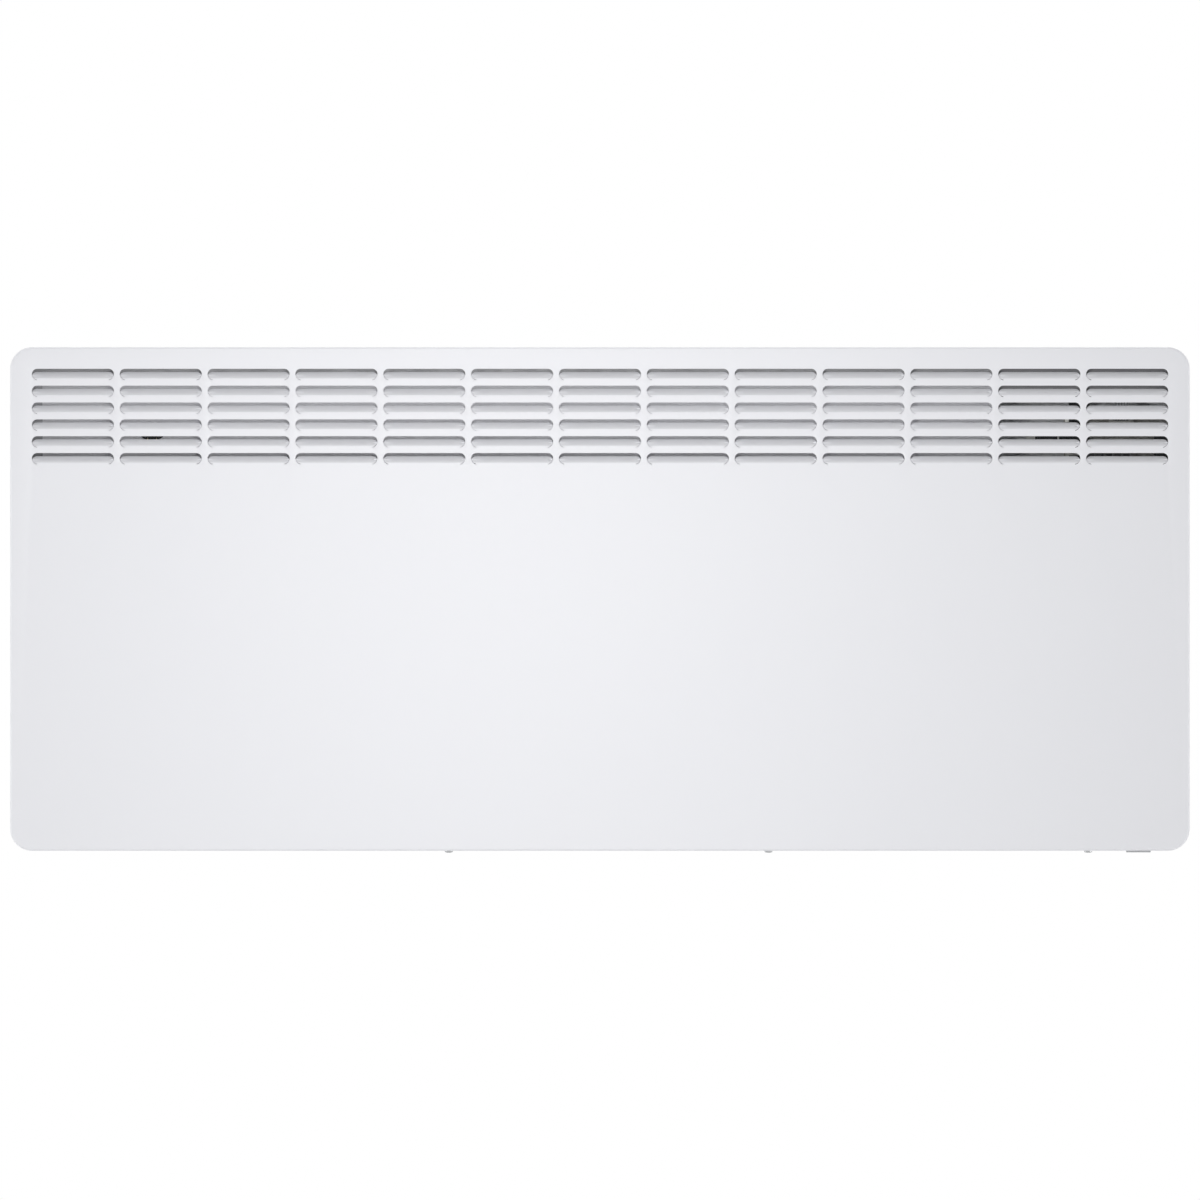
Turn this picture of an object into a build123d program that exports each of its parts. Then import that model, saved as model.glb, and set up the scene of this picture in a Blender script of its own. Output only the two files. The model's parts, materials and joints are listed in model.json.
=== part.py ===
from build123d import *
import os

# Wall-hung electric convector heater, built as the separate pieces that it comes apart into.
# Millimetres.  X runs to the right, Y runs into the wall and Z runs up.  The wall is the plane y = 0,
# the heater stands in front of it at negative y, and the origin is the middle of the four fixing
# holes of the wall frame, which is also the middle of the cover in the front view.

os.makedirs("parts", exist_ok=True)

# ---- cover: overall size and sheet ---------------------------------------------------------------
width = 1050.0
height = 448.2
depth = 100.0                  # wall to the front of the cover
wall_gap = 22.0                # wall to the back of the rear panel
corner_radius = 19.5           # corners of the front view
edge_bevel = 1.4               # bend between the front and the sides
cover_sheet = 0.8
flange_depth = 30.0            # bottom flange, measured back from the front

# ---- cover: stamped louvres ----------------------------------------------------------------------
louvre_rows = 6
louvre_pitch_x = 78.2
louvre_pitch_z = 15.0
louvre_width = 73.8
louvre_height = 10.4
louvre_corner = 4.8            # rounding of the opening's upper corners
louvre_corner_flats = 2        # flats that make up each of them
louvre_root = 3.6              # opening's ends to the flap's root, across the lower corners
louvre_gap = 0.4               # cut between the flap's ends and the sheet
louvre_fold = 2.0              # opening's lower edge up to the fold
louvre_slit = 2.8              # open height above the flap
louvre_depth = 5.0             # how far the flap's top edge is pushed in
louvre_top_margin = 19.2       # cover's top to the top of the first row
louvre_side_margin = 18.0      # least room beside the first and last column

# ---- chassis -------------------------------------------------------------------------------------
rear_sheet = 0.7
rear_lip = 14.0                # depth of the rear panel's folded edge
panel_gap = 0.3                # cover to the rear panel's folded edge
chassis_sheet = 0.8
seat_gap = 0.2                 # between plates that meet edge to face
inlet_margin = 1.5             # inlet panel's ends to the cover's round corners
inlet_upstand = 12.0
inlet_slot_width = 34.0
inlet_slot_length = 36.0
inlet_slot_pitch = 56.0
inlet_slot_margin = 5.0        # cover flange's edge to the slots
tab_width = 20.0               # folded tabs that hold the inlet panel to the rear panel
tab_height = 5.0
tab_pitch = 290.0
tab_count = 4
tab_gap = 0.2
bead_length = 380.0            # stiffening beads pressed into the rear panel
bead_width = 22.0
bead_height = 3.0
bead_pitch = 80.0
bead_count = 3
bead_draft = 45.0
vent_length = 60.0             # cooling slots behind the electronics
vent_width = 4.0
vent_pitch = 12.0
vent_count = 5
vent_offset = -16.0            # from the power board's middle

# ---- wall frame ----------------------------------------------------------------------------------
frame_sheet = 1.5
fixing_pitch_x = 500.0
fixing_pitch_z = 300.0
fixing_hole = 7.0
upright_width = 40.0
upright_height = 370.0
hook_upper_z = 120.0           # top of the hook's neck
hook_lower_z = -80.0
hook_neck = 14.0
hook_rise = 12.0
hook_thickness = 3.0
hook_throat = 2.5              # room behind the rear panel
hook_play = 0.1                # hook's neck to the slot's top edge
hook_side_play = 1.5
hook_clear = 1.0               # hook to the slot's ends while the heater is lifted
running_gap = 0.3              # heater to wall frame
rail_height = 30.0
rail_lip = 12.0
rail_overlap = 30.0
rail_z = 168.0                 # centre of the upper rail; the lower one mirrors it
spacer_width = 30.0
spacer_height = 20.0
spacer_wall = 2.0
spacer_end = 55.0              # side of the cover to the spacer
spacer_lift = 39.1             # above the cover's lower edge
spacer_clear = 0.5             # spacer to the wall

# ---- cover screws in the underside ---------------------------------------------------------------
screw_end = 90.2               # right side of the cover to the last screw
screw_pitch = 284.75
screw_count = 3
screw_inset = 14.0             # from the front
screw_thread = 4.0
screw_lobes = 6                # flats of the thread-forming shank
screw_head = 7.2
screw_head_height = 2.0
screw_length = 7.0
screw_gap = 0.2                # hole radius over thread radius

# ---- air duct and heating element ----------------------------------------------------------------
duct_sheet = 0.5
duct_end_margin = 16.5         # left side of the cover to the duct
chamber_width = 173.1          # partition to the right side of the cover
duct_front_margin = 6.8        # front of the cover to the duct's end plates
duct_top_clear = 2.0
duct_lip = 12.0
duct_lip_height = 390.0
duct_foot_clear = 1.0          # left end plate's foot over the rear panel's round corner
shield_y = -32.0
duct_lift = 29.1               # cover's lower edge to the shield and the baffle
shield_drop = 164.1            # cover's top to the shield's top
shield_lip = 6.0
baffle_y = -84.0
baffle_drop = 128.1
deflector_foot = 12.0          # overlap with the rear heat shield
deflector_knee_y = -68.0
deflector_knee_drop = 102.1    # below the cover's top
deflector_front_y = -84.0
deflector_turn_drop = 24.1
deflector_drop = 10.1
element_y = -58.0
element_lift = 104.1
element_end_gap = 27.0         # duct's end plate to the element's end
element_boss = 16.0
element_rod = 8.0
element_fin_y = 21.0           # reach of the four fins
element_fin_z = 26.0
element_fin_thickness = 2.0
element_foot = 8.0             # short flange on the end of each fin
core_gap = 0.05
rod_reach = 10.0               # rod's end past the end plate
insulator_body = 14.0
insulator_flange = 22.0
insulator_flange_thickness = 4.0
insulator_reach = 4.0
insulator_gap = 0.1
cutout_offset = 109.5          # from the duct's left end
cutout_drop = 80.6
cutout_diameter = 17.0
cutout_height = 8.0
cutout_flange_length = 20.0
cutout_flange_width = 18.0
cutout_flange_thickness = 0.8
cutout_tab_width = 4.0
cutout_tab_length = 8.0
cutout_tab_thickness = 0.8
cutout_tab_pitch = 8.0
lead_width = 6.0               # flat sleeved leads
lead_thickness = 2.0
lead_bend = 8.0
lead_y = -27.2                 # the long lead, behind the duct
short_lead_y = -34.2
lead_notch = 10.0              # notch in the partition for the long lead

# ---- control panel in the top --------------------------------------------------------------------
control_end = 102.5            # right side of the cover to the control panel's middle
control_y = -65.0
control_cut_width = 124.0
control_cut_depth = 44.0
control_cut_radius = 5.0
control_rim = 6.0              # housing's rim under the cover, all round
control_gap = 0.1              # housing to the inside of the cover
control_wall = 2.0
control_drop = 44.0            # height of the housing
control_board_thickness = 1.6
control_board_drop = 12.0      # deck to the board's top
window_x = -28.0               # from the control panel's centre
window_width = 58.0
window_depth = 26.0
window_thickness = 1.2
window_ledge = 2.0
window_gap = 0.1
display_height = 8.5
key_centre_x = 34.0
key_pitch_x = 24.0
key_pitch_y = 18.0
key_width = 15.0
key_depth = 10.0
key_bevel = 1.0
key_gap = 0.2                  # key to its hole, each side
key_proud = 0.7
key_flange = 1.5               # flange past the key, each side
key_flange_thickness = 1.3
key_play = 0.1                 # flange to the deck
key_post = 4.0
key_travel = 0.6
key_over_travel = 0.1
key_switch_size = 6.0
key_switch_height = 3.6

# ---- electronics chamber -------------------------------------------------------------------------
board_end = 61.0               # right side of the cover to the board's middle
board_width = 100.0
board_height = 165.0
board_drop = 59.1              # cover's top to the board's top
board_thickness = 1.6
board_standoff = 20.0
standoff_width = 8.0
standoff_inset = 8.0
relay_width = 28.0
relay_height = 22.0
relay_depth = 16.0
relay_offset = -10.0           # middle of the row, from the board's middle
relay_drop = 130.0             # from the board's top
relay_pitch = 34.0
relay_count = 2
capacitor_width = 12.0
capacitor_height = 30.0
capacitor_depth = 24.0
capacitor_offset = 36.0
capacitor_drop = 31.0
sink_width = 42.0
sink_height = 46.0
sink_fin_pitch = 7.8
sink_fin_count = 6
sink_fin_thickness = 1.6
sink_base = 3.0
sink_depth = 20.0
sink_offset = -10.0
sink_drop = 56.0
connector_width = 22.0
connector_height = 7.0
connector_depth = 10.0
ribbon_offset = 1.0
ribbon_width = 14.0
ribbon_thickness = 1.0
ribbon_bend = 5.0
harness_offset = -40.0         # sleeved leads from the control board, from the power board's middle
harness_width = 12.0
harness_thickness = 5.0
harness_height = 22.0          # off the power board
harness_drop = 46.0            # power board's top to the harness's lower end
branch_drop = 21.3             # power board's top to the branch that goes left
branch_length = 30.0
branch_width = 5.0
plug_width = 8.0
plug_height = 9.0
terminal_offset = -56.0        # from the board's middle
terminal_width = 44.0
terminal_height = 24.0
terminal_depth = 18.0
terminal_poles = 3
terminal_well = 8.0
terminal_well_depth = 8.0
gland_end = 75.0               # right side of the cover to the gland
gland_lift = 74.1
gland_bore = 9.0
gland_neck = 16.0              # across the corners, so that it doesn't turn in its hole
gland_flange = 25.0            # across the corners of its hexagonal flange
gland_sides = 6
gland_flange_thickness = 3.0
gland_reach = 9.0              # neck past the rear panel's inside
gland_gap = 0.1
earth_offset = -55.0           # from the gland
earth_drop = 15.0
earth_width = 6.3
earth_length = 12.0
earth_foot = 8.0
earth_thickness = 0.8
sensor_end = 95.0              # right side of the cover to the sensor
sensor_y = -50.0
sensor_clip_width = 16.0
sensor_clip_depth = 12.0
sensor_clip_height = 10.0
sensor_diameter = 5.0
sensor_length = 24.0
sensor_gap = 0.05

# ---- mains rocker switch in the underside --------------------------------------------------------
switch_end = 44.5              # right side of the cover to the switch
switch_y = -46.0
switch_bezel_width = 21.7
switch_bezel_depth = 15.0
switch_bezel_proud = 2.0       # below the cover
switch_body_width = 19.0
switch_body_depth = 12.8
switch_body_height = 15.0
switch_cut_gap = 0.1
rocker_length = 16.0
rocker_depth = 9.6
rocker_throw = 12.0            # degrees
rocker_edge = 3.0              # pivot to the rocker's ends
rocker_rise = 2.0              # rocker above its pivot
rocker_dip = 0.8               # hollow in the middle of its face
rocker_clear = 0.4
rocker_side_clear = 0.2
rocker_sink = 0.1              # rocker's lowest reach above the bezel's face
axle_diameter = 2.4
axle_length = 0.8              # past each side of the rocker
axle_gap = 0.05
blade_width = 4.8
blade_thickness = 0.8
blade_length = 8.0
blade_pitch = 6.0
blade_count = 3

# ---- planes and places that several pieces share -------------------------------------------------
front_y = -depth
back_y = -wall_gap
top_z = height / 2
bottom_z = -height / 2
side_x = width / 2
straight_x = side_x - corner_radius                  # end of the straight top and bottom
inside_y = front_y + cover_sheet
inside_top_z = top_z - cover_sheet
inside_bottom_z = bottom_z + cover_sheet
rear_inset = cover_sheet + panel_gap                 # cover's outside to the rear panel's edge
panel_y = back_y - rear_sheet                        # inside face of the rear panel
floor_z = inside_bottom_z + chassis_sheet            # upper face of the inlet panel
louvre_columns = 1 + int((width - 2 * louvre_side_margin - louvre_width) / louvre_pitch_x)
inlet_half = straight_x - inlet_margin
inlet_front_y = inside_y + edge_bevel + seat_gap
tab_z = floor_z + inlet_upstand - chassis_sheet      # middle of the folded tabs
flange_x = fixing_pitch_x / 2 + upright_width / 2    # outer face of the uprights' flanges
hook_middle_x = flange_x - frame_sheet / 2
hook_slot_height = hook_neck + hook_rise + 2 * hook_clear
duct_left_x = duct_end_margin - side_x
partition_x = side_x - chamber_width
inlet_slot_count = int((partition_x - duct_left_x) / inlet_slot_pitch)
duct_front_y = front_y + duct_front_margin
duct_top_z = inside_top_z - panel_gap - rear_sheet - duct_top_clear
duct_bottom_z = bottom_z + duct_lift
shield_top_z = top_z - shield_drop
baffle_top_z = top_z - baffle_drop
deflector_knee = (deflector_knee_y, top_z - deflector_knee_drop)
deflector_turn = (deflector_front_y, top_z - deflector_turn_drop)
element_z = bottom_z + element_lift
control_x = side_x - control_end
deck_z = inside_top_z - control_gap                  # control panel's upper face, under the cover
control_board_z = deck_z - control_board_drop
screw_places = [side_x - screw_end - i * screw_pitch for i in range(screw_count)]
screw_y = front_y + screw_inset
spacer_places = [(side * (side_x - spacer_end), bottom_z + spacer_lift) for side in (-1, 1)]
board_x = side_x - board_end
board_top_z = top_z - board_drop
board_y = panel_y - board_standoff                   # back of the power board
board_face_y = board_y - board_thickness
gland_place = (side_x - gland_end, bottom_z + gland_lift)
terminal_place = (board_x + terminal_offset, element_z)
sensor_x = side_x - sensor_end
switch_x = side_x - switch_end


# ---- front cover: pressed hood with the louvre grille --------------------------------------------
# A louvre is a flap cut free along its top and round its ends, and bent inwards about its root.  It is
# made once in its own frame: x along it, y up, z = 0 on the front face and negative inwards.
front_plane = Plane.XZ.offset(depth)
louvre_field_z = top_z - louvre_top_margin - louvre_height / 2 - (louvre_rows - 1) * louvre_pitch_z / 2


def louvre_outline(inset, flats):
    """Opening's outline drawn in by inset, with flats in each upper corner and one in each lower."""
    half = Vector(louvre_width / 2, louvre_height / 2)
    radius = louvre_corner - inset
    right = [Vector(half.X - louvre_root, inset - half.Y), Vector(half.X - inset, louvre_root - half.Y)]
    right += [half - Vector(louvre_corner, louvre_corner) + Vector(radius, 0).rotate(Axis.Z, 90 * i / flats)
              for i in range(flats + 1)]
    left = [Vector(-point.X, point.Y) for point in reversed(right)]
    with BuildSketch() as outline:
        with BuildLine():
            Polyline(*right, *left, close=True)
        make_face()
    return outline.sketch


# section of the flap: it leaves the sheet at the fold and ends square to its slope
flap_root = Vector(-louvre_height / 2 - cover_sheet, 0)
flap_foot = Vector(louvre_fold - louvre_height / 2, 0)
flap_edge = Vector(louvre_height / 2 - louvre_slit, -louvre_depth)
flap_slope = (flap_edge - flap_foot).normalized()
flap_inward = Vector(flap_slope.Y, -flap_slope.X) * cover_sheet
flap_back = flap_foot + flap_inward - flap_slope * ((cover_sheet + flap_inward.Y) / flap_slope.Y)

with BuildPart() as louvre_hole:
    with BuildSketch(Plane.XY.offset(cover_sheet)):
        add(louvre_outline(0, louvre_corner_flats))
    extrude(amount=-3 * cover_sheet)

with BuildPart() as louvre_flap:
    with BuildSketch():
        add(louvre_outline(louvre_gap, 1))
        with Locations((0, -louvre_height / 2)):
            Rectangle(louvre_width - 2 * louvre_root, 2 * cover_sheet)
    extrude(amount=-louvre_depth - 2 * cover_sheet)
    with BuildSketch(Plane.YZ) as section:
        with BuildLine():
            Polyline(flap_foot, flap_edge, flap_edge + flap_inward, flap_back,
                     flap_root + Vector(0, -cover_sheet), flap_root, close=True)
        make_face()
    extrude(section.sketch, amount=louvre_width, both=True, mode=Mode.INTERSECT)

with BuildPart() as front_cover:
    with BuildSketch(front_plane):
        RectangleRounded(width, height, corner_radius)
    extrude(amount=-(depth - wall_gap))
    chamfer(front_cover.faces().sort_by(Axis.Y)[0].edges(), edge_bevel)
    offset(amount=-cover_sheet, openings=front_cover.faces().sort_by(Axis.Y)[-1])
    with BuildSketch(Plane.XY.offset(bottom_z - cover_sheet)):
        with Locations((0, front_y + flange_depth)):
            Rectangle(2 * straight_x, depth, align=(Align.CENTER, Align.MIN))
    extrude(amount=3 * cover_sheet, mode=Mode.SUBTRACT)
    with Locations(front_plane):
        with Locations((0, louvre_field_z)):
            with GridLocations(louvre_pitch_x, louvre_pitch_z, louvre_columns, louvre_rows):
                add(louvre_hole.part, mode=Mode.SUBTRACT)
                add(louvre_flap.part)
    with BuildSketch(Plane.XY.offset(top_z + cover_sheet)):
        with Locations((control_x, control_y)):
            RectangleRounded(control_cut_width, control_cut_depth, control_cut_radius)
    extrude(amount=-3 * cover_sheet, mode=Mode.SUBTRACT)
    with Locations(*[(x, screw_y, inside_bottom_z) for x in screw_places]):
        Hole(screw_thread / 2 + screw_gap, depth=2 * cover_sheet)
front_cover.part.label = "front_cover"
export_step(front_cover.part, "parts/front_cover.step")


# ---- rear panel: tray that closes the back -------------------------------------------------------
with BuildPart() as rear_panel:
    with BuildSketch(Plane.XZ.offset(wall_gap)):
        RectangleRounded(width - 2 * rear_inset, height - 2 * rear_inset, corner_radius - rear_inset)
    extrude(amount=rear_lip)
    offset(amount=-rear_sheet, openings=rear_panel.faces().sort_by(Axis.Y)[0])
    # the folded edge stops where the inlet panel comes in
    with BuildSketch(Plane.XZ.offset(-panel_y)):
        with Locations((0, bottom_z)):
            Rectangle(2 * (inlet_half + seat_gap), rear_lip, align=(Align.CENTER, Align.MIN))
    extrude(amount=rear_lip, mode=Mode.SUBTRACT)
    # slots for the wall frame's hooks
    with BuildSketch(Plane.XZ.offset(wall_gap)):
        for neck_z in (hook_upper_z, hook_lower_z):
            with Locations((-hook_middle_x, neck_z + hook_play), (hook_middle_x, neck_z + hook_play)):
                Rectangle(frame_sheet + 2 * hook_side_play, hook_slot_height, align=(Align.CENTER, Align.MAX))
    extrude(amount=rear_sheet, mode=Mode.SUBTRACT)
    # cooling slots behind the electronics
    with BuildSketch(Plane.XZ.offset(wall_gap)):
        with Locations((board_x + vent_offset, board_top_z - board_height / 2)):
            with GridLocations(1, vent_pitch, 1, vent_count):
                Rectangle(vent_length, vent_width)
    extrude(amount=rear_sheet, mode=Mode.SUBTRACT)
    # slots for the inlet panel's folded tabs
    with BuildSketch(Plane.XZ.offset(wall_gap)):
        with Locations((0, tab_z)):
            with GridLocations(tab_pitch, 1, tab_count, 1):
                Rectangle(tab_width + 2 * tab_gap, chassis_sheet + 2 * tab_gap)
    extrude(amount=rear_sheet, mode=Mode.SUBTRACT)
    # hole for the cable gland
    with BuildSketch(Plane.XZ.offset(wall_gap)):
        with Locations(gland_place):
            RegularPolygon(gland_neck / 2 + gland_gap, gland_sides)
    extrude(amount=rear_sheet, mode=Mode.SUBTRACT)
    # stiffening beads, pressed towards the wall
    with BuildSketch(Plane.XZ.offset(wall_gap)):
        with GridLocations(1, bead_pitch, 1, bead_count):
            Rectangle(bead_length, bead_width)
    extrude(amount=-bead_height, taper=bead_draft)
    with BuildSketch(Plane.XZ.offset(wall_gap + rear_sheet)):
        with GridLocations(1, bead_pitch, 1, bead_count):
            Rectangle(bead_length, bead_width)
    extrude(amount=-bead_height, taper=bead_draft, mode=Mode.SUBTRACT)
rear_panel.part.label = "rear_panel"
export_step(rear_panel.part, "parts/rear_panel.step")

# ---- inlet panel: floor of the chassis, with the air slots ---------------------------------------
with BuildPart() as inlet_panel:
    with BuildSketch(Plane.YZ.offset(-inlet_half)):
        with BuildLine():
            Polyline((inlet_front_y, inside_bottom_z), (panel_y, inside_bottom_z),
                     (panel_y, floor_z + inlet_upstand), (panel_y - chassis_sheet, floor_z + inlet_upstand),
                     (panel_y - chassis_sheet, floor_z), (inlet_front_y, floor_z), close=True)
        make_face()
    extrude(amount=2 * inlet_half)
    # tabs through the rear panel, folded down behind it
    with BuildSketch(Plane.XY.offset(tab_z - chassis_sheet / 2)):
        with Locations((0, panel_y - chassis_sheet / 2)):
            with GridLocations(tab_pitch, 1, tab_count, 1):
                Rectangle(tab_width, rear_sheet + 1.5 * chassis_sheet, align=(Align.CENTER, Align.MIN))
    extrude(amount=chassis_sheet)
    with BuildSketch(Plane.XZ.offset(-back_y)):
        with Locations((0, tab_z + chassis_sheet / 2)):
            with GridLocations(tab_pitch, 1, tab_count, 1):
                Rectangle(tab_width, tab_height, align=(Align.CENTER, Align.MAX))
    extrude(amount=-chassis_sheet)
    # air slots under the duct
    with BuildSketch(Plane.XY.offset(floor_z)):
        slot_field_x = (duct_left_x + partition_x) / 2
        slot_field_y = front_y + flange_depth + inlet_slot_margin + inlet_slot_length / 2
        with Locations((slot_field_x, slot_field_y)):
            with GridLocations(inlet_slot_pitch, 1, inlet_slot_count, 1):
                Rectangle(inlet_slot_width, inlet_slot_length)
    extrude(amount=-chassis_sheet, mode=Mode.SUBTRACT)
    # cut-out for the mains switch
    with BuildSketch(Plane.XY.offset(floor_z)):
        with Locations((switch_x, switch_y)):
            Rectangle(switch_body_width + 2 * switch_cut_gap, switch_body_depth + 2 * switch_cut_gap)
    extrude(amount=-chassis_sheet, mode=Mode.SUBTRACT)
    # cut-out for the room sensor's clip
    with BuildSketch(Plane.XY.offset(floor_z)):
        with Locations((sensor_x, sensor_y)):
            Rectangle(sensor_clip_width / 2 + 2 * tab_gap, sensor_clip_depth / 2 + 2 * tab_gap)
    extrude(amount=-chassis_sheet, mode=Mode.SUBTRACT)
    # square holes for the cover screws
    with BuildSketch(Plane.XY.offset(floor_z)):
        with Locations(*[(x, screw_y) for x in screw_places]):
            Rectangle(screw_thread + 2 * screw_gap, screw_thread + 2 * screw_gap)
    extrude(amount=-chassis_sheet, mode=Mode.SUBTRACT)
inlet_panel.part.label = "inlet_panel"
export_step(inlet_panel.part, "parts/inlet_panel.step")

# ---- the three screws that hold the cover's bottom flange ----------------------------------------
with BuildPart() as cover_screws:
    with Locations(*[(x, screw_y, bottom_z) for x in screw_places]):
        Cylinder(screw_head / 2, screw_head_height, align=(Align.CENTER, Align.CENTER, Align.MAX))
    with BuildSketch(Plane.XY.offset(bottom_z)):
        with Locations(*[(x, screw_y) for x in screw_places]):
            RegularPolygon(screw_thread / 2, screw_lobes)
    extrude(amount=screw_length)
cover_screws.part.label = "cover_screws"
export_step(cover_screws.part, "parts/cover_screws.step")


# ---- wall frame: two uprights with hooks, and two rails spot-welded between them -----------------
def upright(side):
    """Angle section on the wall with two hooks on its flange; side is -1 for left, 1 for right."""
    hook_y = panel_y - hook_throat
    with BuildPart() as angle:
        with BuildSketch(Plane.XY.offset(-upright_height / 2)):
            with Locations((side * (flange_x - upright_width / 2), 0)):
                Rectangle(upright_width, frame_sheet, align=(Align.CENTER, Align.MAX))
            with Locations((side * hook_middle_x, 0)):
                Rectangle(frame_sheet, wall_gap - running_gap, align=(Align.CENTER, Align.MAX))
        extrude(amount=upright_height)
        with BuildSketch(Plane.YZ.offset(side * hook_middle_x)):
            for neck_z in (hook_upper_z, hook_lower_z):
                with BuildLine():
                    Polyline((-frame_sheet, neck_z), (hook_y, neck_z), (hook_y, neck_z + hook_rise),
                             (hook_y - hook_thickness, neck_z + hook_rise),
                             (hook_y - hook_thickness, neck_z - hook_neck + hook_thickness),
                             (hook_y, neck_z - hook_neck), (-frame_sheet, neck_z - hook_neck), close=True)
                make_face()
        extrude(amount=frame_sheet / 2, both=True)
        with Locations(Plane.XZ):
            with Locations((side * fixing_pitch_x / 2, fixing_pitch_z / 2),
                           (side * fixing_pitch_x / 2, -fixing_pitch_z / 2)):
                Hole(fixing_hole / 2, depth=2 * frame_sheet)
    return angle.part


def rail(middle_z, lip_side):
    """Flat rail over the uprights' webs with one lip turned forward; lip_side is 1 above, -1 below."""
    half_length = flange_x - upright_width + rail_overlap
    with BuildPart() as strip:
        with BuildSketch(Plane.YZ.offset(-half_length)):
            with Locations((-frame_sheet, middle_z)):
                Rectangle(frame_sheet, rail_height, align=(Align.MAX, Align.CENTER))
            with Locations((-frame_sheet, middle_z + lip_side * (rail_height - frame_sheet) / 2)):
                Rectangle(rail_lip, frame_sheet, align=(Align.MAX, Align.CENTER))
        extrude(amount=2 * half_length)
    return strip.part


with BuildPart() as wall_upright_left:
    add(upright(-1))
wall_upright_left.part.label = "wall_upright_left"
export_step(wall_upright_left.part, "parts/wall_upright_left.step")

with BuildPart() as wall_upright_right:
    add(upright(1))
wall_upright_right.part.label = "wall_upright_right"
export_step(wall_upright_right.part, "parts/wall_upright_right.step")

with BuildPart() as wall_rail_upper:
    add(rail(rail_z, 1))
wall_rail_upper.part.label = "wall_rail_upper"
export_step(wall_rail_upper.part, "parts/wall_rail_upper.step")

with BuildPart() as wall_rail_lower:
    add(rail(-rail_z, -1))
wall_rail_lower.part.label = "wall_rail_lower"
export_step(wall_rail_lower.part, "parts/wall_rail_lower.step")

# Hollow feet on the rear panel keep the heater's lower edge off the wall.
with BuildPart() as wall_spacers:
    with BuildSketch(Plane.XZ.offset(wall_gap)) as foot:
        with Locations(*spacer_places):
            Rectangle(spacer_width, spacer_height)
        offset(foot.sketch, amount=-spacer_wall, kind=Kind.INTERSECTION, mode=Mode.SUBTRACT)
    extrude(amount=-(wall_gap - spacer_clear - spacer_wall))
    with BuildSketch(Plane.XZ.offset(spacer_clear + spacer_wall)):
        with Locations(*spacer_places):
            Rectangle(spacer_width, spacer_height)
    extrude(amount=-spacer_wall)
wall_spacers.part.label = "wall_spacers"
export_step(wall_spacers.part, "parts/wall_spacers.step")


# ---- air duct ------------------------------------------------------------------------------------
def duct_end(x, lip_side, foot_z):
    """Upright plate across the duct with a lip on the rear panel; lip_side is 1 for +X, -1 for -X."""
    with BuildPart() as plate:
        with BuildSketch(Plane.XY.offset(foot_z)):
            with Locations((x, duct_front_y)):
                Rectangle(chassis_sheet, panel_y - duct_front_y, align=(Align.CENTER, Align.MIN))
        extrude(amount=duct_top_z - foot_z)
        with BuildSketch(Plane.XZ.offset(-panel_y)):
            with Locations((x + lip_side * duct_lip / 2, 0)):
                Rectangle(duct_lip, duct_lip_height)
        extrude(amount=chassis_sheet)
        # room for the inlet panel's upstand
        with BuildSketch(Plane.XY.offset(floor_z)):
            with Locations((x, panel_y)):
                Rectangle(4 * duct_lip, chassis_sheet + seat_gap, align=(Align.CENTER, Align.MAX))
        extrude(amount=inlet_upstand + seat_gap, mode=Mode.SUBTRACT)
        # square hole for the element's insulator
        with BuildSketch(Plane.YZ.offset(x)):
            with Locations((element_y, element_z)):
                Rectangle(insulator_body + 2 * insulator_gap, insulator_body + 2 * insulator_gap)
        extrude(amount=chassis_sheet, both=True, mode=Mode.SUBTRACT)
        # notch for the leads that pass behind the duct
        with BuildSketch(Plane.YZ.offset(x)):
            with Locations((panel_y, element_z)):
                Rectangle(lead_notch, lead_notch, align=(Align.MAX, Align.CENTER))
        extrude(amount=2 * duct_lip, both=True, mode=Mode.SUBTRACT)
    return plate.part


with BuildPart() as duct_end_plate:
    add(duct_end(duct_left_x, -1, floor_z + duct_foot_clear))
duct_end_plate.part.label = "duct_end_plate"
export_step(duct_end_plate.part, "parts/duct_end_plate.step")

with BuildPart() as partition_plate:
    add(duct_end(partition_x, 1, floor_z))
partition_plate.part.label = "partition_plate"
export_step(partition_plate.part, "parts/partition_plate.step")

duct_start_x = duct_left_x + chassis_sheet / 2 + seat_gap
duct_length = partition_x - chassis_sheet / 2 - seat_gap - duct_start_x
duct_section = Plane.YZ.offset(duct_start_x)

with BuildPart() as rear_heat_shield:
    with BuildSketch(duct_section):
        with Locations((shield_y, (duct_bottom_z + shield_top_z) / 2)):
            Rectangle(duct_sheet, shield_top_z - duct_bottom_z, align=(Align.MIN, Align.CENTER))
        with Locations((shield_y, duct_bottom_z)):
            Rectangle(panel_y - shield_y - seat_gap, duct_sheet, align=(Align.MIN, Align.MIN))
    extrude(amount=duct_length)
rear_heat_shield.part.label = "rear_heat_shield"
export_step(rear_heat_shield.part, "parts/rear_heat_shield.step")

with BuildPart() as front_baffle:
    with BuildSketch(duct_section):
        with Locations((baffle_y, (duct_bottom_z + baffle_top_z) / 2)):
            Rectangle(duct_sheet, baffle_top_z - duct_bottom_z, align=(Align.MIN, Align.CENTER))
        with Locations((baffle_y, duct_bottom_z), (baffle_y, baffle_top_z - duct_sheet)):
            Rectangle(shield_lip, duct_sheet, align=(Align.MAX, Align.MIN))
    extrude(amount=duct_length)
front_baffle.part.label = "front_baffle"
export_step(front_baffle.part, "parts/front_baffle.step")

# The deflector stands on the rear shield's face and turns the warm air forward to the louvres.
with BuildPart() as air_deflector:
    with BuildSketch(duct_section):
        with BuildLine():
            Polyline((shield_y - duct_sheet / 2, shield_top_z - deflector_foot),
                     (shield_y - duct_sheet / 2, shield_top_z), deflector_knee, deflector_turn,
                     (deflector_front_y, top_z - deflector_drop))
        trace(line_width=duct_sheet)
    extrude(amount=duct_length)
air_deflector.part.label = "air_deflector"
export_step(air_deflector.part, "parts/air_deflector.step")

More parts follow.
